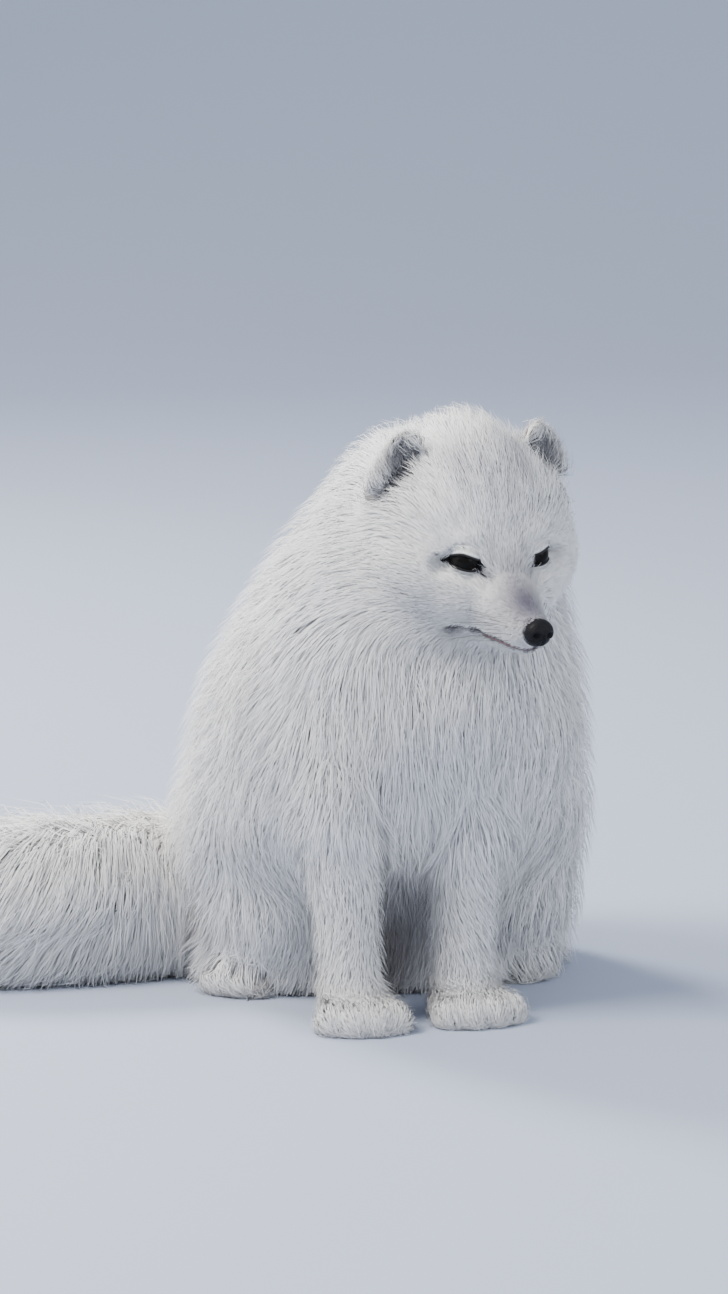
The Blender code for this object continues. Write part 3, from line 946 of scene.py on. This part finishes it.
def make_skin(settings):
    """Builds the skin and everything that the coat reads from it."""
    obj = fused_flesh(settings.swell, settings.voxel)
    mesh = obj.data
    keep_largest(mesh)
    even_out(mesh, 12)
    fill_creases(mesh, 70)
    plump(mesh)
    pull_in(mesh, settings.swell)
    refine(mesh, lambda co: head_coordinates(co)[:, 1] < 14.0, 1)
    even_out(mesh, 2)
    refine(mesh, lambda co: near_eye(head_coordinates(co), 20.0) | (head_coordinates(co)[:, 1] < -14.0), 1)
    refine(mesh, lambda co: near_slit(head_coordinates(co), 2.6), 1)
    lips, cleft = lip_line(mesh), cleft_line(mesh)
    shape_eyes(mesh)
    shape_mouth(mesh, lips, cleft)
    turn_ears(mesh)
    shape_ears(mesh)
    mesh.update()

    edges = mesh_edges(mesh)
    co = mesh_points(mesh)
    normals = mesh_normals(mesh)
    label = nearest_node(co)
    sizes = coat_sizes(co, node_shares(label, edges, 14))
    bare_colour, bare, from_lips = bare_parts(co, lips, cleft)
    sizes[:, 0] *= 1.0 - 0.4 * smoothstep(8.0, 3.0, from_lips)
    sizes[:, 1] *= 1.0 - 0.5 * smoothstep(9.0, 3.0, from_lips)
    sizes[:, 3] *= 1.0 - smoothstep(0.05, 0.6, bare)
    sizes[:, 3] *= smoothstep(1.02, 1.2, nose_reach(co))
    colour = markings_and_shade(co, normals, settings.white, settings.cream)
    colour = blend_mark(colour, 0.9 * smoothstep(4.0, 2.0, from_lips), DARK_LIPS)
    lie = lie_of_coat(co, normals, label, edges)
    lie[:, 2] *= 1.0 - 0.85 * smoothstep(10.0, 4.0, from_lips)
    colour = colour * (1.0 - bare[:, None]) + bare_colour * bare[:, None]
    add_attribute(mesh, "node", "INT", label)
    add_attribute(mesh, "lie", "FLOAT_VECTOR", unit(lie))
    for k, name in enumerate(COAT_SIZES):
        add_attribute(mesh, name, "FLOAT", sizes[:, k])
    add_attribute(mesh, "coat_colour", "FLOAT_COLOR", np.concatenate([colour, np.ones((len(co), 1))], axis=1))
    unwrap(obj)
    mesh.shade_smooth()
    mesh.materials.clear()
    mesh.materials.append(skin_material())
    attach(obj, "root")
    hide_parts(*FLESH)
    return obj


def unwrap(obj):
    """Unwraps the skin by its own shape, for itself and for the coat."""
    obj.data.uv_layers.new(name="OFBake")
    bpy.ops.object.select_all(action="DESELECT")
    obj.select_set(True)
    bpy.context.view_layer.objects.active = obj
    bpy.ops.object.mode_set(mode="EDIT")
    bpy.ops.mesh.select_all(action="SELECT")
    bpy.ops.uv.smart_project(angle_limit=math.radians(66), island_margin=0.004)
    bpy.ops.object.mode_set(mode="OBJECT")


# ---------------------------------------------------------------- the coat

class Skin:
    """The finished skin, read as arrays for growing tufts on it."""

    def __init__(self):
        mesh = bpy.data.objects["skin"].data
        self.co = mesh_points(mesh)
        self.normals = mesh_normals(mesh)
        self.node = read_attribute(mesh, "node", 1)
        self.lie = read_attribute(mesh, "lie", 3).astype(float)
        self.values = np.stack([read_attribute(mesh, name, 1) for name in COAT_SIZES], axis=1)
        self.colour = read_attribute(mesh, "coat_colour", 4)[:, :3].astype(float)
        mesh.calc_loop_triangles()
        count = len(mesh.loop_triangles)
        self.corner = np.empty(count * 3, np.int32)
        mesh.loop_triangles.foreach_get("vertices", self.corner)
        self.corner = self.corner.reshape(-1, 3)
        loops = np.empty(count * 3, np.int32)
        mesh.loop_triangles.foreach_get("loops", loops)
        uv = np.empty(len(mesh.loops) * 2, np.float32)
        mesh.uv_layers["OFBake"].data.foreach_get("uv", uv)
        self.uv = uv.reshape(-1, 2)[loops.reshape(-1, 3)]
        a, b, c = (self.co[self.corner[:, k]] for k in range(3))
        self.area = np.linalg.norm(np.cross(b - a, c - a), axis=1) / 2
        self.tree = kdtree.KDTree(len(self.co))
        for i, p in enumerate(self.co.tolist()):
            self.tree.insert(p, i)
        self.tree.balance()

    def nearest(self, points):
        find = self.tree.find
        return np.array([find(p)[1] for p in points.tolist()], np.int64)


def sown(skin, rng, share, chosen):
    """Triangles and places in them for new roots, as many as the coat's density asks."""
    wanted = skin.area * skin.values[skin.corner, 3].mean(axis=1) * share * chosen
    total = np.cumsum(wanted)
    count = int(total[-1])
    tri = np.searchsorted(total, rng.random(count) * total[-1])
    u, v = rng.random(count), rng.random(count)
    flip = u + v > 1.0
    u[flip], v[flip] = 1.0 - u[flip], 1.0 - v[flip]
    return tri, np.stack([1.0 - u - v, u, v], axis=1)


def at_roots(values, corner, weights):
    return np.einsum("nk,nkc->nc", weights, values[corner])


def tuft_paths(skin, root, normal, lie, length, height):
    """Lines that leave the roots, follow the lie of the coat and end at the coat's height."""
    points, facing = [root - normal * ROOT_DEPTH], [normal]
    foot, heading = root, lie
    for k in range(SPANS):
        foot = foot + heading * (length / SPANS)[:, None]
        near = skin.nearest(foot)
        below = skin.normals[near]
        foot = foot - below * np.sum((foot - skin.co[near]) * below, axis=1, keepdims=True) * 0.85
        heading = unit(in_surface(heading * 1.2 + skin.lie[near], below))
        rise = math.sin(0.5 * math.pi * (k + 1) / SPANS) ** 0.9
        points.append(foot + below * (height * rise)[:, None])
        facing.append(below)
    return np.stack(points), np.stack(facing)


def gather(points, rng, root, size, pull):
    """Draws the tips together into locks of several tufts."""
    count = max(1, int(len(root) / size))
    seeds = rng.choice(len(root), count, replace=False)
    tree = kdtree.KDTree(count)
    for i, k in enumerate(seeds):
        tree.insert(root[k], i)
    tree.balance()
    leader = seeds[np.array([tree.find(p)[1] for p in root.tolist()])]
    for k in range(1, SPANS + 1):
        points[k] += (points[k][leader] - points[k]) * (pull * (k / SPANS) ** 1.5)[:, None]
    return points


def tuft_mesh(name, points, facing, width, colour, uv, rng):
    """Joined mesh of three-sided tufts that taper from the root to a point."""
    count, corner_count = len(points[0]), SPANS * SIDES + 1
    roll = rng.random(count) * 2 * math.pi
    tangents = np.gradient(points, axis=0)
    verts = np.empty((count, corner_count, 3))
    shade = np.empty((count, corner_count))
    patch = np.empty((count, corner_count, 2))
    turned = np.empty((count, corner_count, 3))
    for k in range(SPANS):
        tangent = unit(tangents[k])
        across = unit(np.cross(facing[k], tangent))
        lift = np.cross(tangent, across)
        reach = (width * GIRTH[k] / 2)[:, None]
        for i in range(SIDES):
            angle = roll + 2 * math.pi * i / SIDES
            ring = across * np.cos(angle)[:, None] + lift * 0.7 * np.sin(angle)[:, None]
            verts[:, k * SIDES + i] = points[k] + ring * reach
            turned[:, k * SIDES + i] = unit(ring * (1.0 - SOFTNESS) + facing[k] * SOFTNESS)
            # darker towards the root: the undercoat, and painted shade deep in the coat
            shade[:, k * SIDES + i] = ROOT_SHADE + (1.0 - ROOT_SHADE) * (k / SPANS) ** 0.6
            patch[:, k * SIDES + i] = ((i - 1) * PATCH / 2, (2 * k / SPANS - 1) * PATCH / 2)
    verts[:, -1] = points[-1]
    turned[:, -1] = facing[-1]
    shade[:, -1] = 1.0
    patch[:, -1] = (0.0, PATCH / 2)
    verts[:, :, 2] = np.maximum(verts[:, :, 2], LOWEST)

    corners = []
    for k in range(SPANS - 1):
        for i in range(SIDES):
            j = (i + 1) % SIDES
            corners.append([k * SIDES + i, k * SIDES + j, (k + 1) * SIDES + j, (k + 1) * SIDES + i])
    last = (SPANS - 1) * SIDES
    for i in range(SIDES):
        corners.append([last + i, last + (i + 1) % SIDES, SPANS * SIDES])
    starts = np.cumsum([0] + [len(c) for c in corners])
    one = np.concatenate([np.array(c) for c in corners])
    loops = (one[None, :] + (np.arange(count) * corner_count)[:, None]).ravel()
    loop_start = (starts[None, :-1] + (np.arange(count) * starts[-1])[:, None]).ravel()

    mesh = bpy.data.meshes.new(name)
    mesh.vertices.add(count * verts.shape[1])
    mesh.vertices.foreach_set("co", verts.astype(np.float32).ravel())
    mesh.loops.add(len(loops))
    mesh.loops.foreach_set("vertex_index", loops.astype(np.int32))
    mesh.polygons.add(len(loop_start))
    mesh.polygons.foreach_set("loop_start", loop_start.astype(np.int32))
    mesh.update(calc_edges=True)
    layer = mesh.uv_layers.new(name="OFBake")
    spots = (uv[:, None, :] + patch).reshape(-1, 2)
    layer.data.foreach_set("uv", spots[loops].astype(np.float32).ravel())
    tones = colour[:, None, :] * shade[:, :, None]
    tones = np.concatenate([tones, np.ones(tones.shape[:2] + (1,))], axis=2)
    add_attribute(mesh, "coat_colour", "FLOAT_COLOR", tones)
    mesh.shade_smooth()
    mesh.normals_split_custom_set_from_vertices(turned.reshape(-1, 3))
    return mesh


def grow_coat(skin, name, chosen, settings, seed):
    """One piece of the coat: a dense lying layer, and a few finer hairs that stand out past it."""
    rng = np.random.default_rng(seed)
    share = settings.density * 1.0
    tri, weights = sown(skin, rng, share, chosen)
    corner = skin.corner[tri]
    root = at_roots(skin.co, corner, weights)
    normal = unit(at_roots(skin.normals, corner, weights))
    lie = unit(in_surface(at_roots(skin.lie, corner, weights), normal))
    sizes = at_roots(skin.values, corner, weights)
    colour = at_roots(skin.colour, corner, weights)
    uv = np.einsum("nk,nkc->nc", weights, skin.uv[tri])
    count = len(root)

    stray = rng.random(count) < settings.stray
    jitter = rng.normal(0.0, TURN_SPREAD, count) + 0.25 * stray * rng.normal(0.0, 1.0, count)
    lie = unit(lie + np.cross(normal, lie) * jitter[:, None])
    length = sizes[:, 1] * settings.length * rng.uniform(*LENGTH_SPREAD, count)
    length *= np.where(stray, STRAY_LENGTH, 1.0)
    height = sizes[:, 0] * STAND * rng.uniform(*HEIGHT_SPREAD, count) * np.where(stray, STRAY_HEIGHT, 1.0)
    width = sizes[:, 2] * rng.uniform(*WIDTH_SPREAD, count) * np.where(stray, STRAY_WIDTH, 1.0)
    points, facing = tuft_paths(skin, root, normal, lie, length, height)
    pull = settings.gather * rng.uniform(0.5, 1.0, count) * np.where(stray, STRAY_GATHER, 1.0)
    points = gather(points, rng, root, settings.lock, pull)
    points = gather(points, rng, root, settings.lock * 9, pull * 0.45)
    colour = colour * rng.uniform(*TONE_SPREAD, count)[:, None]
    mesh = tuft_mesh(name, points, facing, width, np.clip(colour, 0.0, 1.0), uv, rng)
    mesh.materials.append(fur_material())
    obj = link(bpy.data.objects.new(name, mesh))
    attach(obj, "root")


def coat_of(node_names, settings):
    """Coat of each node, in two halves where it would be too large for one piece."""
    skin = Skin()
    middle = centre_of("chest").x
    for name in node_names:
        index = FLESH.index(name)
        mine = (skin.node[skin.corner[:, 0]] == index).astype(float)
        seed = settings.seed + index
        tufts = np.sum(skin.area * skin.values[skin.corner, 3].mean(axis=1) * mine) * settings.density
        if tufts < PIECE_LIMIT:
            grow_coat(skin, "coat_" + name, mine, settings, seed)
            continue
        left = skin.co[skin.corner[:, 0], 0] > middle
        grow_coat(skin, "coat_" + name + "_on_left", mine * left, settings, seed)
        grow_coat(skin, "coat_" + name + "_on_right", mine * ~left, settings, seed + 50)


# ---------------------------------------------------------------- eyes, nose, claws and whiskers
def make_eye(side, name, settings):
    """Eyeball with a raised cornea, turned the way the fox looks."""
    bm = bmesh.new()
    bmesh.ops.create_uvsphere(bm, u_segments=48, v_segments=32, radius=(EYE_RADIUS - 0.05) * MM)
    gaze = Vector((side * GAZE[0], GAZE[1], GAZE[2])).normalized()
    distances = {}
    for v in bm.verts:
        away = (v.co.normalized() - gaze).length
        distances[v.index] = away
        if away < CORNEA:
            v.co += gaze * CORNEA_RISE * MM * (1.0 - (away / CORNEA) ** 2)
    place = Matrix.Translation(on_head(EYE_CENTRE, side)) @ HEAD_TURN.to_4x4()
    bmesh.ops.transform(bm, matrix=place, verts=bm.verts)
    layer = bm.verts.layers.float.new("from_pupil")
    for v in bm.verts:
        v[layer] = distances[v.index]
    mat = bpy.data.materials.get("wet_eye") or eye_material(tuple(settings.iris))
    obj = object_from(bm, name, mat)
    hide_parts(name.replace("eyeball", "eye"))
    return obj


def make_nose():
    """Nose pad with nostrils, side slits and the cleft below."""
    bm = bmesh.new()
    bmesh.ops.create_uvsphere(bm, u_segments=96, v_segments=64, radius=1.0)
    half = Vector(NOSE_SIZE)
    for v in bm.verts:
        x, y, z = v.co
        broad = 1.0 - 0.16 * max(0.0, -z)
        p = Vector((x * half.x * broad, y * half.y, z * half.z))
        if y < 0.25:
            side = 1.0 if x >= 0 else -1.0
            hole = math.hypot((p.x - side * NOSTRIL[0]) / NOSTRIL_SIZE[0], (p.z - NOSTRIL[1]) / NOSTRIL_SIZE[1])
            slit = math.hypot((p.x - side * 7.6) / 3.0, (p.z + 1.4 + 0.25 * abs(p.x)) / 0.9)
            sink = NOSTRIL_DEPTH * math.exp(-hole ** 2) + SLIT_DEPTH * math.exp(-slit ** 2)
            rim = 0.45 * math.exp(-((hole - 1.9) / 0.6) ** 2)
            cleft = PAD_CLEFT * math.exp(-(p.x / 0.75) ** 2) * (1.0 if p.z < 1.5 else 0.25)
            p.y += sink + cleft - rim
        v.co = p * MM
    place = Matrix.Translation(on_head(NOSE_CENTRE)) @ HEAD_TURN.to_4x4()
    bmesh.ops.transform(bm, matrix=place, verts=bm.verts)
    obj = object_from(bm, "nose_pad", nose_material())
    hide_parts("nose")
    return obj


def add_taper(bm, points, radii, sides):
    """Tapered round strand through the points, closed at its root and pointed at its tip."""
    made = bmesh.ops.create_circle(bm, cap_ends=True, segments=sides, radius=1.0)
    ring = made["verts"]
    face = ring[0].link_faces[0]
    previous_turn = None
    for k, point in enumerate(points):
        ahead = points[min(k + 1, len(points) - 1)] - points[max(k - 1, 0)]
        turn = Vector((0, 0, 1)).rotation_difference(ahead).to_matrix()
        if k:
            extruded = bmesh.ops.extrude_face_region(bm, geom=[face])
            face = next(g for g in extruded["geom"] if isinstance(g, bmesh.types.BMFace))
            ring = list(face.verts)
        for i, v in enumerate(ring):
            if k == 0:
                angle = 2 * math.pi * i / sides
                flat = Vector((math.cos(angle), math.sin(angle), 0))
            else:
                flat = (previous_turn.inverted() @ (v.co - points[k - 1])) / radii[k - 1]
            v.co = point + turn @ (flat * radii[k])
        previous_turn = turn


def make_claws(settings):
    """Four short dark claws to a paw, mostly hidden in the fur of the toes."""
    skin = bpy.data.objects["skin"]
    tree = bvhtree.BVHTree.FromObject(skin, bpy.context.evaluated_depsgraph_get())
    bm = bmesh.new()
    for name in FOREPAWS + HIND_PAWS:
        low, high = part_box(name)
        wide = high.x - low.x
        for i in range(CLAWS):
            x = low.x + wide * (CLAW_FIRST + CLAW_STEP * i)
            start = Vector((x, low.y - 0.03, CLAW_HEIGHT))
            hit = tree.ray_cast(start, Vector((0, 1, 0)), 0.1)
            if hit[0] is None:
                continue
            base = hit[0] + Vector((0, CLAW_SUNK, 0))
            length = settings.claw
            points = [base + Vector((0, -length * t, 0.0012 * math.sin(math.pi * t) - 0.0045 * t * t))
                      for t, _ in CLAW_STATIONS]
            add_taper(bm, points, [radius for _, radius in CLAW_STATIONS], 8)
    bmesh.ops.recalc_face_normals(bm, faces=bm.faces)
    return object_from(bm, "claws", horn_material())


def make_whiskers(settings):
    """Fine whiskers that sweep back along the cheeks."""
    rng = np.random.default_rng(settings.seed)
    skin = bpy.data.objects["skin"]
    tree = bvhtree.BVHTree.FromObject(skin, bpy.context.evaluated_depsgraph_get())
    bm = bmesh.new()
    for side in (1, -1):
        for row in range(WHISKER_ROWS):
            for step in range(WHISKERS_IN_ROW):
                x, y, z = WHISKER_FIRST
                spot = on_head((x, y + WHISKER_STEP * step, z - WHISKER_ROW_STEP * row), side)
                at = tree.find_nearest(spot)[0]
                back = HEAD_TURN @ Vector((side * 0.35, 0.95, -0.10 - 0.16 * row))
                out = HEAD_TURN @ Vector((side, 0.0, 0.0))
                length = settings.whisker * rng.uniform(0.75, 1.1) * (0.65 + 0.13 * step)
                bend = rng.normal(0.0, 0.05, 3)
                points = []
                steps = np.linspace(0.0, 1.0, WHISKER_POINTS)
                for t in steps:
                    p = at + back * length * t + out * length * 0.42 * t * (1.0 - 0.45 * t)
                    points.append(p + Vector(bend * length * t * t) + Vector((0, 0, -0.10 * length * t * t)))
                add_taper(bm, points, [WHISKER_RADIUS * (1.0 - 0.85 * t) for t in steps], 4)
    bmesh.ops.recalc_face_normals(bm, faces=bm.faces)
    return object_from(bm, "whiskers", whisker_material())


# ---------------------------------------------------------------- the stage
def aim(obj, target):
    obj.rotation_euler = (Vector(target) - obj.location).to_track_quat("-Z", "Y").to_euler()


def area_light(name, at, target, size, watts, colour):
    lamp = bpy.data.lights.new(name, "AREA")
    lamp.shape = "DISK"
    lamp.size = size
    lamp.energy = watts
    lamp.color = colour
    obj = link(bpy.data.objects.new(name, lamp))
    obj.location = at
    aim(obj, target)


def make_stage(settings):
    """Pale floor that curves up behind, soft lights, and the camera."""
    bm = bmesh.new()
    edge = [bm.verts.new((-6.0, y, 0.0)) for y in (-5.0, 3.0)]
    edge += [bm.verts.new((-6.0, 3.0 + 2.0 * math.sin(a), 2.0 - 2.0 * math.cos(a)))
             for a in np.linspace(0.0, math.pi / 2, 12)[1:]]
    edge.append(bm.verts.new((-6.0, 5.0, 6.0)))
    runs = [bm.edges.new(pair) for pair in zip(edge, edge[1:])]
    swept = bmesh.ops.extrude_edge_only(bm, edges=runs)
    moved = [g for g in swept["geom"] if isinstance(g, bmesh.types.BMVert)]
    bmesh.ops.translate(bm, verts=moved, vec=(12.0, 0.0, 0.0))
    bmesh.ops.recalc_face_normals(bm, faces=bm.faces)
    mesh = bpy.data.meshes.new("floor")
    bm.to_mesh(mesh)
    bm.free()
    mesh.shade_smooth()
    mat, _, shader = new_material("pale_floor")
    shader.inputs["Base Color"].default_value = (*settings.floor, 1.0)
    shader.inputs["Roughness"].default_value = 0.8
    mesh.materials.append(mat)
    link(bpy.data.objects.new("floor", mesh))

    target = Vector(CAMERA_AIM)
    area_light("key", (-1.6, -0.6, 2.4), target, 1.2, settings.key, (1.0, 0.97, 0.93))
    area_light("fill", (2.0, -2.2, 1.2), target, 2.2, settings.fill, (0.90, 0.94, 1.0))
    area_light("rim", (-0.9, 1.9, 1.9), target, 0.9, settings.rim, (1.0, 0.98, 0.95))
    world = bpy.data.worlds.new("studio")
    world.use_nodes = True
    backdrop = world.node_tree.nodes["Background"]
    backdrop.inputs["Color"].default_value = (0.80, 0.86, 1.0, 1.0)
    backdrop.inputs["Strength"].default_value = settings.world
    bpy.context.scene.world = world

    camera = bpy.data.cameras.new("camera")
    camera.sensor_fit = "VERTICAL"
    camera.sensor_height = 36.0
    camera.lens = camera.sensor_height * CAMERA_DISTANCE / FRAME_HEIGHT
    camera.clip_end = 40.0
    obj = link(bpy.data.objects.new("camera", camera))
    level = CAMERA_DISTANCE * math.cos(CAMERA_ELEVATION)
    away = Vector((level * math.sin(CAMERA_AZIMUTH), -level * math.cos(CAMERA_AZIMUTH),
                   CAMERA_DISTANCE * math.sin(CAMERA_ELEVATION)))
    obj.location = target + away
    aim(obj, target)
    bpy.context.scene.camera = obj


# ---------------------------------------------------------------- settings, operators and panel
class FoxSkinSettings(bpy.types.PropertyGroup):
    """Mesh and colour of the skin."""
    voxel: bpy.props.FloatProperty(
        name="Grain", description="Spacing of the skin's points", default=0.0031, unit="LENGTH", precision=5)
    swell: bpy.props.FloatProperty(
        name="Swell", description="How far each node grows so that they fuse", default=0.0005, unit="LENGTH",
        precision=5)
    white: bpy.props.FloatVectorProperty(
        name="White", description="Main colour of the coat", default=(0.97, 0.965, 0.955), subtype="COLOR")
    cream: bpy.props.FloatVectorProperty(
        name="Cream", description="Warm tone of the coat", default=(0.95, 0.92, 0.86), subtype="COLOR")


class FoxCoatSettings(bpy.types.PropertyGroup):
    """How the tufts grow."""
    density: bpy.props.FloatProperty(
        name="Density", description="Share of the full number of tufts", default=1.0)
    length: bpy.props.FloatProperty(
        name="Length", description="Share of the full length of a tuft", default=1.0)
    stray: bpy.props.FloatProperty(name="Stray", description="Share of hairs that stand out", default=0.20)
    gather: bpy.props.FloatProperty(name="Gather", description="How far tips close into locks", default=0.17)
    lock: bpy.props.FloatProperty(name="Lock", description="Tufts in a small lock", default=9.0)
    seed: bpy.props.IntProperty(name="Seed", description="Start of the random draws", default=11)


class FoxDetailSettings(bpy.types.PropertyGroup):
    """Eyes, claws and whiskers."""
    iris: bpy.props.FloatVectorProperty(
        name="Iris", description="Colour of the iris", default=(0.004, 0.003, 0.002), subtype="COLOR")
    claw: bpy.props.FloatProperty(name="Claw", description="Length of a claw", default=0.008, unit="LENGTH")
    whisker: bpy.props.FloatProperty(
        name="Whisker", description="Length of the longest whiskers", default=0.055, unit="LENGTH")
    seed: bpy.props.IntProperty(name="Seed", description="Start of the random draws", default=4)


class FoxStageSettings(bpy.types.PropertyGroup):
    """Floor and light."""
    floor: bpy.props.FloatVectorProperty(
        name="Floor", description="Colour of the floor", default=(0.42, 0.47, 0.58), subtype="COLOR")
    key: bpy.props.FloatProperty(name="Key", description="Main light", default=115.0, unit="POWER")
    fill: bpy.props.FloatProperty(
        name="Fill", description="Soft light from the right", default=30.0, unit="POWER")
    rim: bpy.props.FloatProperty(name="Rim", description="Light from behind", default=105.0, unit="POWER")
    world: bpy.props.FloatProperty(name="Surround", description="Light from all round", default=0.95)


class FOX_OT_skin(bpy.types.Operator):
    """Fuse the flesh into one skin, bring it in by the depth of the coat, and shape the face"""
    bl_idname = "fox.skin"
    bl_label = "Skin"

    def execute(self, context):
        make_skin(context.scene.fox_skin)
        return {"FINISHED"}


class FOX_OT_eyes(bpy.types.Operator):
    """Set the two eyeballs between the lids"""
    bl_idname = "fox.eyes"
    bl_label = "Eyes"

    def execute(self, context):
        make_eye(1, "eyeball_left", context.scene.fox_detail)
        make_eye(-1, "eyeball_right", context.scene.fox_detail)
        return {"FINISHED"}


class FOX_OT_nose(bpy.types.Operator):
    """Shape the nose pad"""
    bl_idname = "fox.nose"
    bl_label = "Nose"

    def execute(self, context):
        make_nose()
        return {"FINISHED"}


class FOX_OT_claws(bpy.types.Operator):
    """Set the claws in the toes"""
    bl_idname = "fox.claws"
    bl_label = "Claws"

    def execute(self, context):
        make_claws(context.scene.fox_detail)
        return {"FINISHED"}


class FOX_OT_whiskers(bpy.types.Operator):
    """Set the whiskers in the muzzle"""
    bl_idname = "fox.whiskers"
    bl_label = "Whiskers"

    def execute(self, context):
        make_whiskers(context.scene.fox_detail)
        return {"FINISHED"}


class FOX_OT_head_coat(bpy.types.Operator):
    """Grow the short fur of the face and the ears and the ruff of the head"""
    bl_idname = "fox.head_coat"
    bl_label = "Coat of the head"

    def execute(self, context):
        coat_of(HEAD_PARTS + EAR_PARTS, context.scene.fox_coat)
        return {"FINISHED"}


class FOX_OT_body_coat(bpy.types.Operator):
    """Grow the long fur of the neck, chest, trunk and haunches"""
    bl_idname = "fox.body_coat"
    bl_label = "Coat of the body"

    def execute(self, context):
        coat_of(BODY_PARTS, context.scene.fox_coat)
        return {"FINISHED"}


class FOX_OT_leg_coat(bpy.types.Operator):
    """Grow the fur of the legs and the paws"""
    bl_idname = "fox.leg_coat"
    bl_label = "Coat of the legs"

    def execute(self, context):
        coat_of(("foreleg_left", "foreleg_right") + FOREPAWS + HIND_PAWS, context.scene.fox_coat)
        return {"FINISHED"}


class FOX_OT_tail_coat(bpy.types.Operator):
    """Grow the brush of the tail"""
    bl_idname = "fox.tail_coat"
    bl_label = "Coat of the tail"

    def execute(self, context):
        coat_of(TAIL_PARTS, context.scene.fox_coat)
        return {"FINISHED"}


class FOX_OT_stage(bpy.types.Operator):
    """Set up the floor, the lights and the camera"""
    bl_idname = "fox.stage"
    bl_label = "Stage"

    def execute(self, context):
        make_stage(context.scene.fox_stage)
        return {"FINISHED"}


OPERATORS = (FOX_OT_stage, FOX_OT_skin, FOX_OT_eyes, FOX_OT_nose, FOX_OT_claws, FOX_OT_whiskers,
             FOX_OT_head_coat, FOX_OT_body_coat, FOX_OT_leg_coat, FOX_OT_tail_coat)
SETTINGS = {"fox_skin": FoxSkinSettings, "fox_coat": FoxCoatSettings, "fox_detail": FoxDetailSettings,
            "fox_stage": FoxStageSettings}


class FOX_PT_panel(bpy.types.Panel):
    """Arctic fox pieces in the 3D view's sidebar"""
    bl_idname = "FOX_PT_panel"
    bl_label = "Arctic Fox"
    bl_space_type = "VIEW_3D"
    bl_region_type = "UI"
    bl_category = "Arctic Fox"

    def draw(self, context):
        for name, group in SETTINGS.items():
            box = self.layout.box()
            for prop in group.__annotations__:
                box.prop(getattr(context.scene, name), prop)
        for operator in OPERATORS:
            self.layout.operator(operator.bl_idname)


def register():
    for cls in (*SETTINGS.values(), *OPERATORS, FOX_PT_panel):
        bpy.utils.register_class(cls)
    for name, group in SETTINGS.items():
        setattr(bpy.types.Scene, name, bpy.props.PointerProperty(type=group))


def unregister():
    for name in SETTINGS:
        delattr(bpy.types.Scene, name)
    for cls in (FOX_PT_panel, *reversed(OPERATORS), *SETTINGS.values()):
        bpy.utils.unregister_class(cls)


def main():
    register()
    bpy.ops.fox.stage()
    bpy.ops.fox.skin()
    bpy.ops.fox.eyes()
    bpy.ops.fox.nose()
    bpy.ops.fox.claws()
    bpy.ops.fox.whiskers()
    bpy.ops.fox.head_coat()
    bpy.ops.fox.body_coat()
    bpy.ops.fox.leg_coat()
    bpy.ops.fox.tail_coat()


if __name__ == "__main__":
    main()
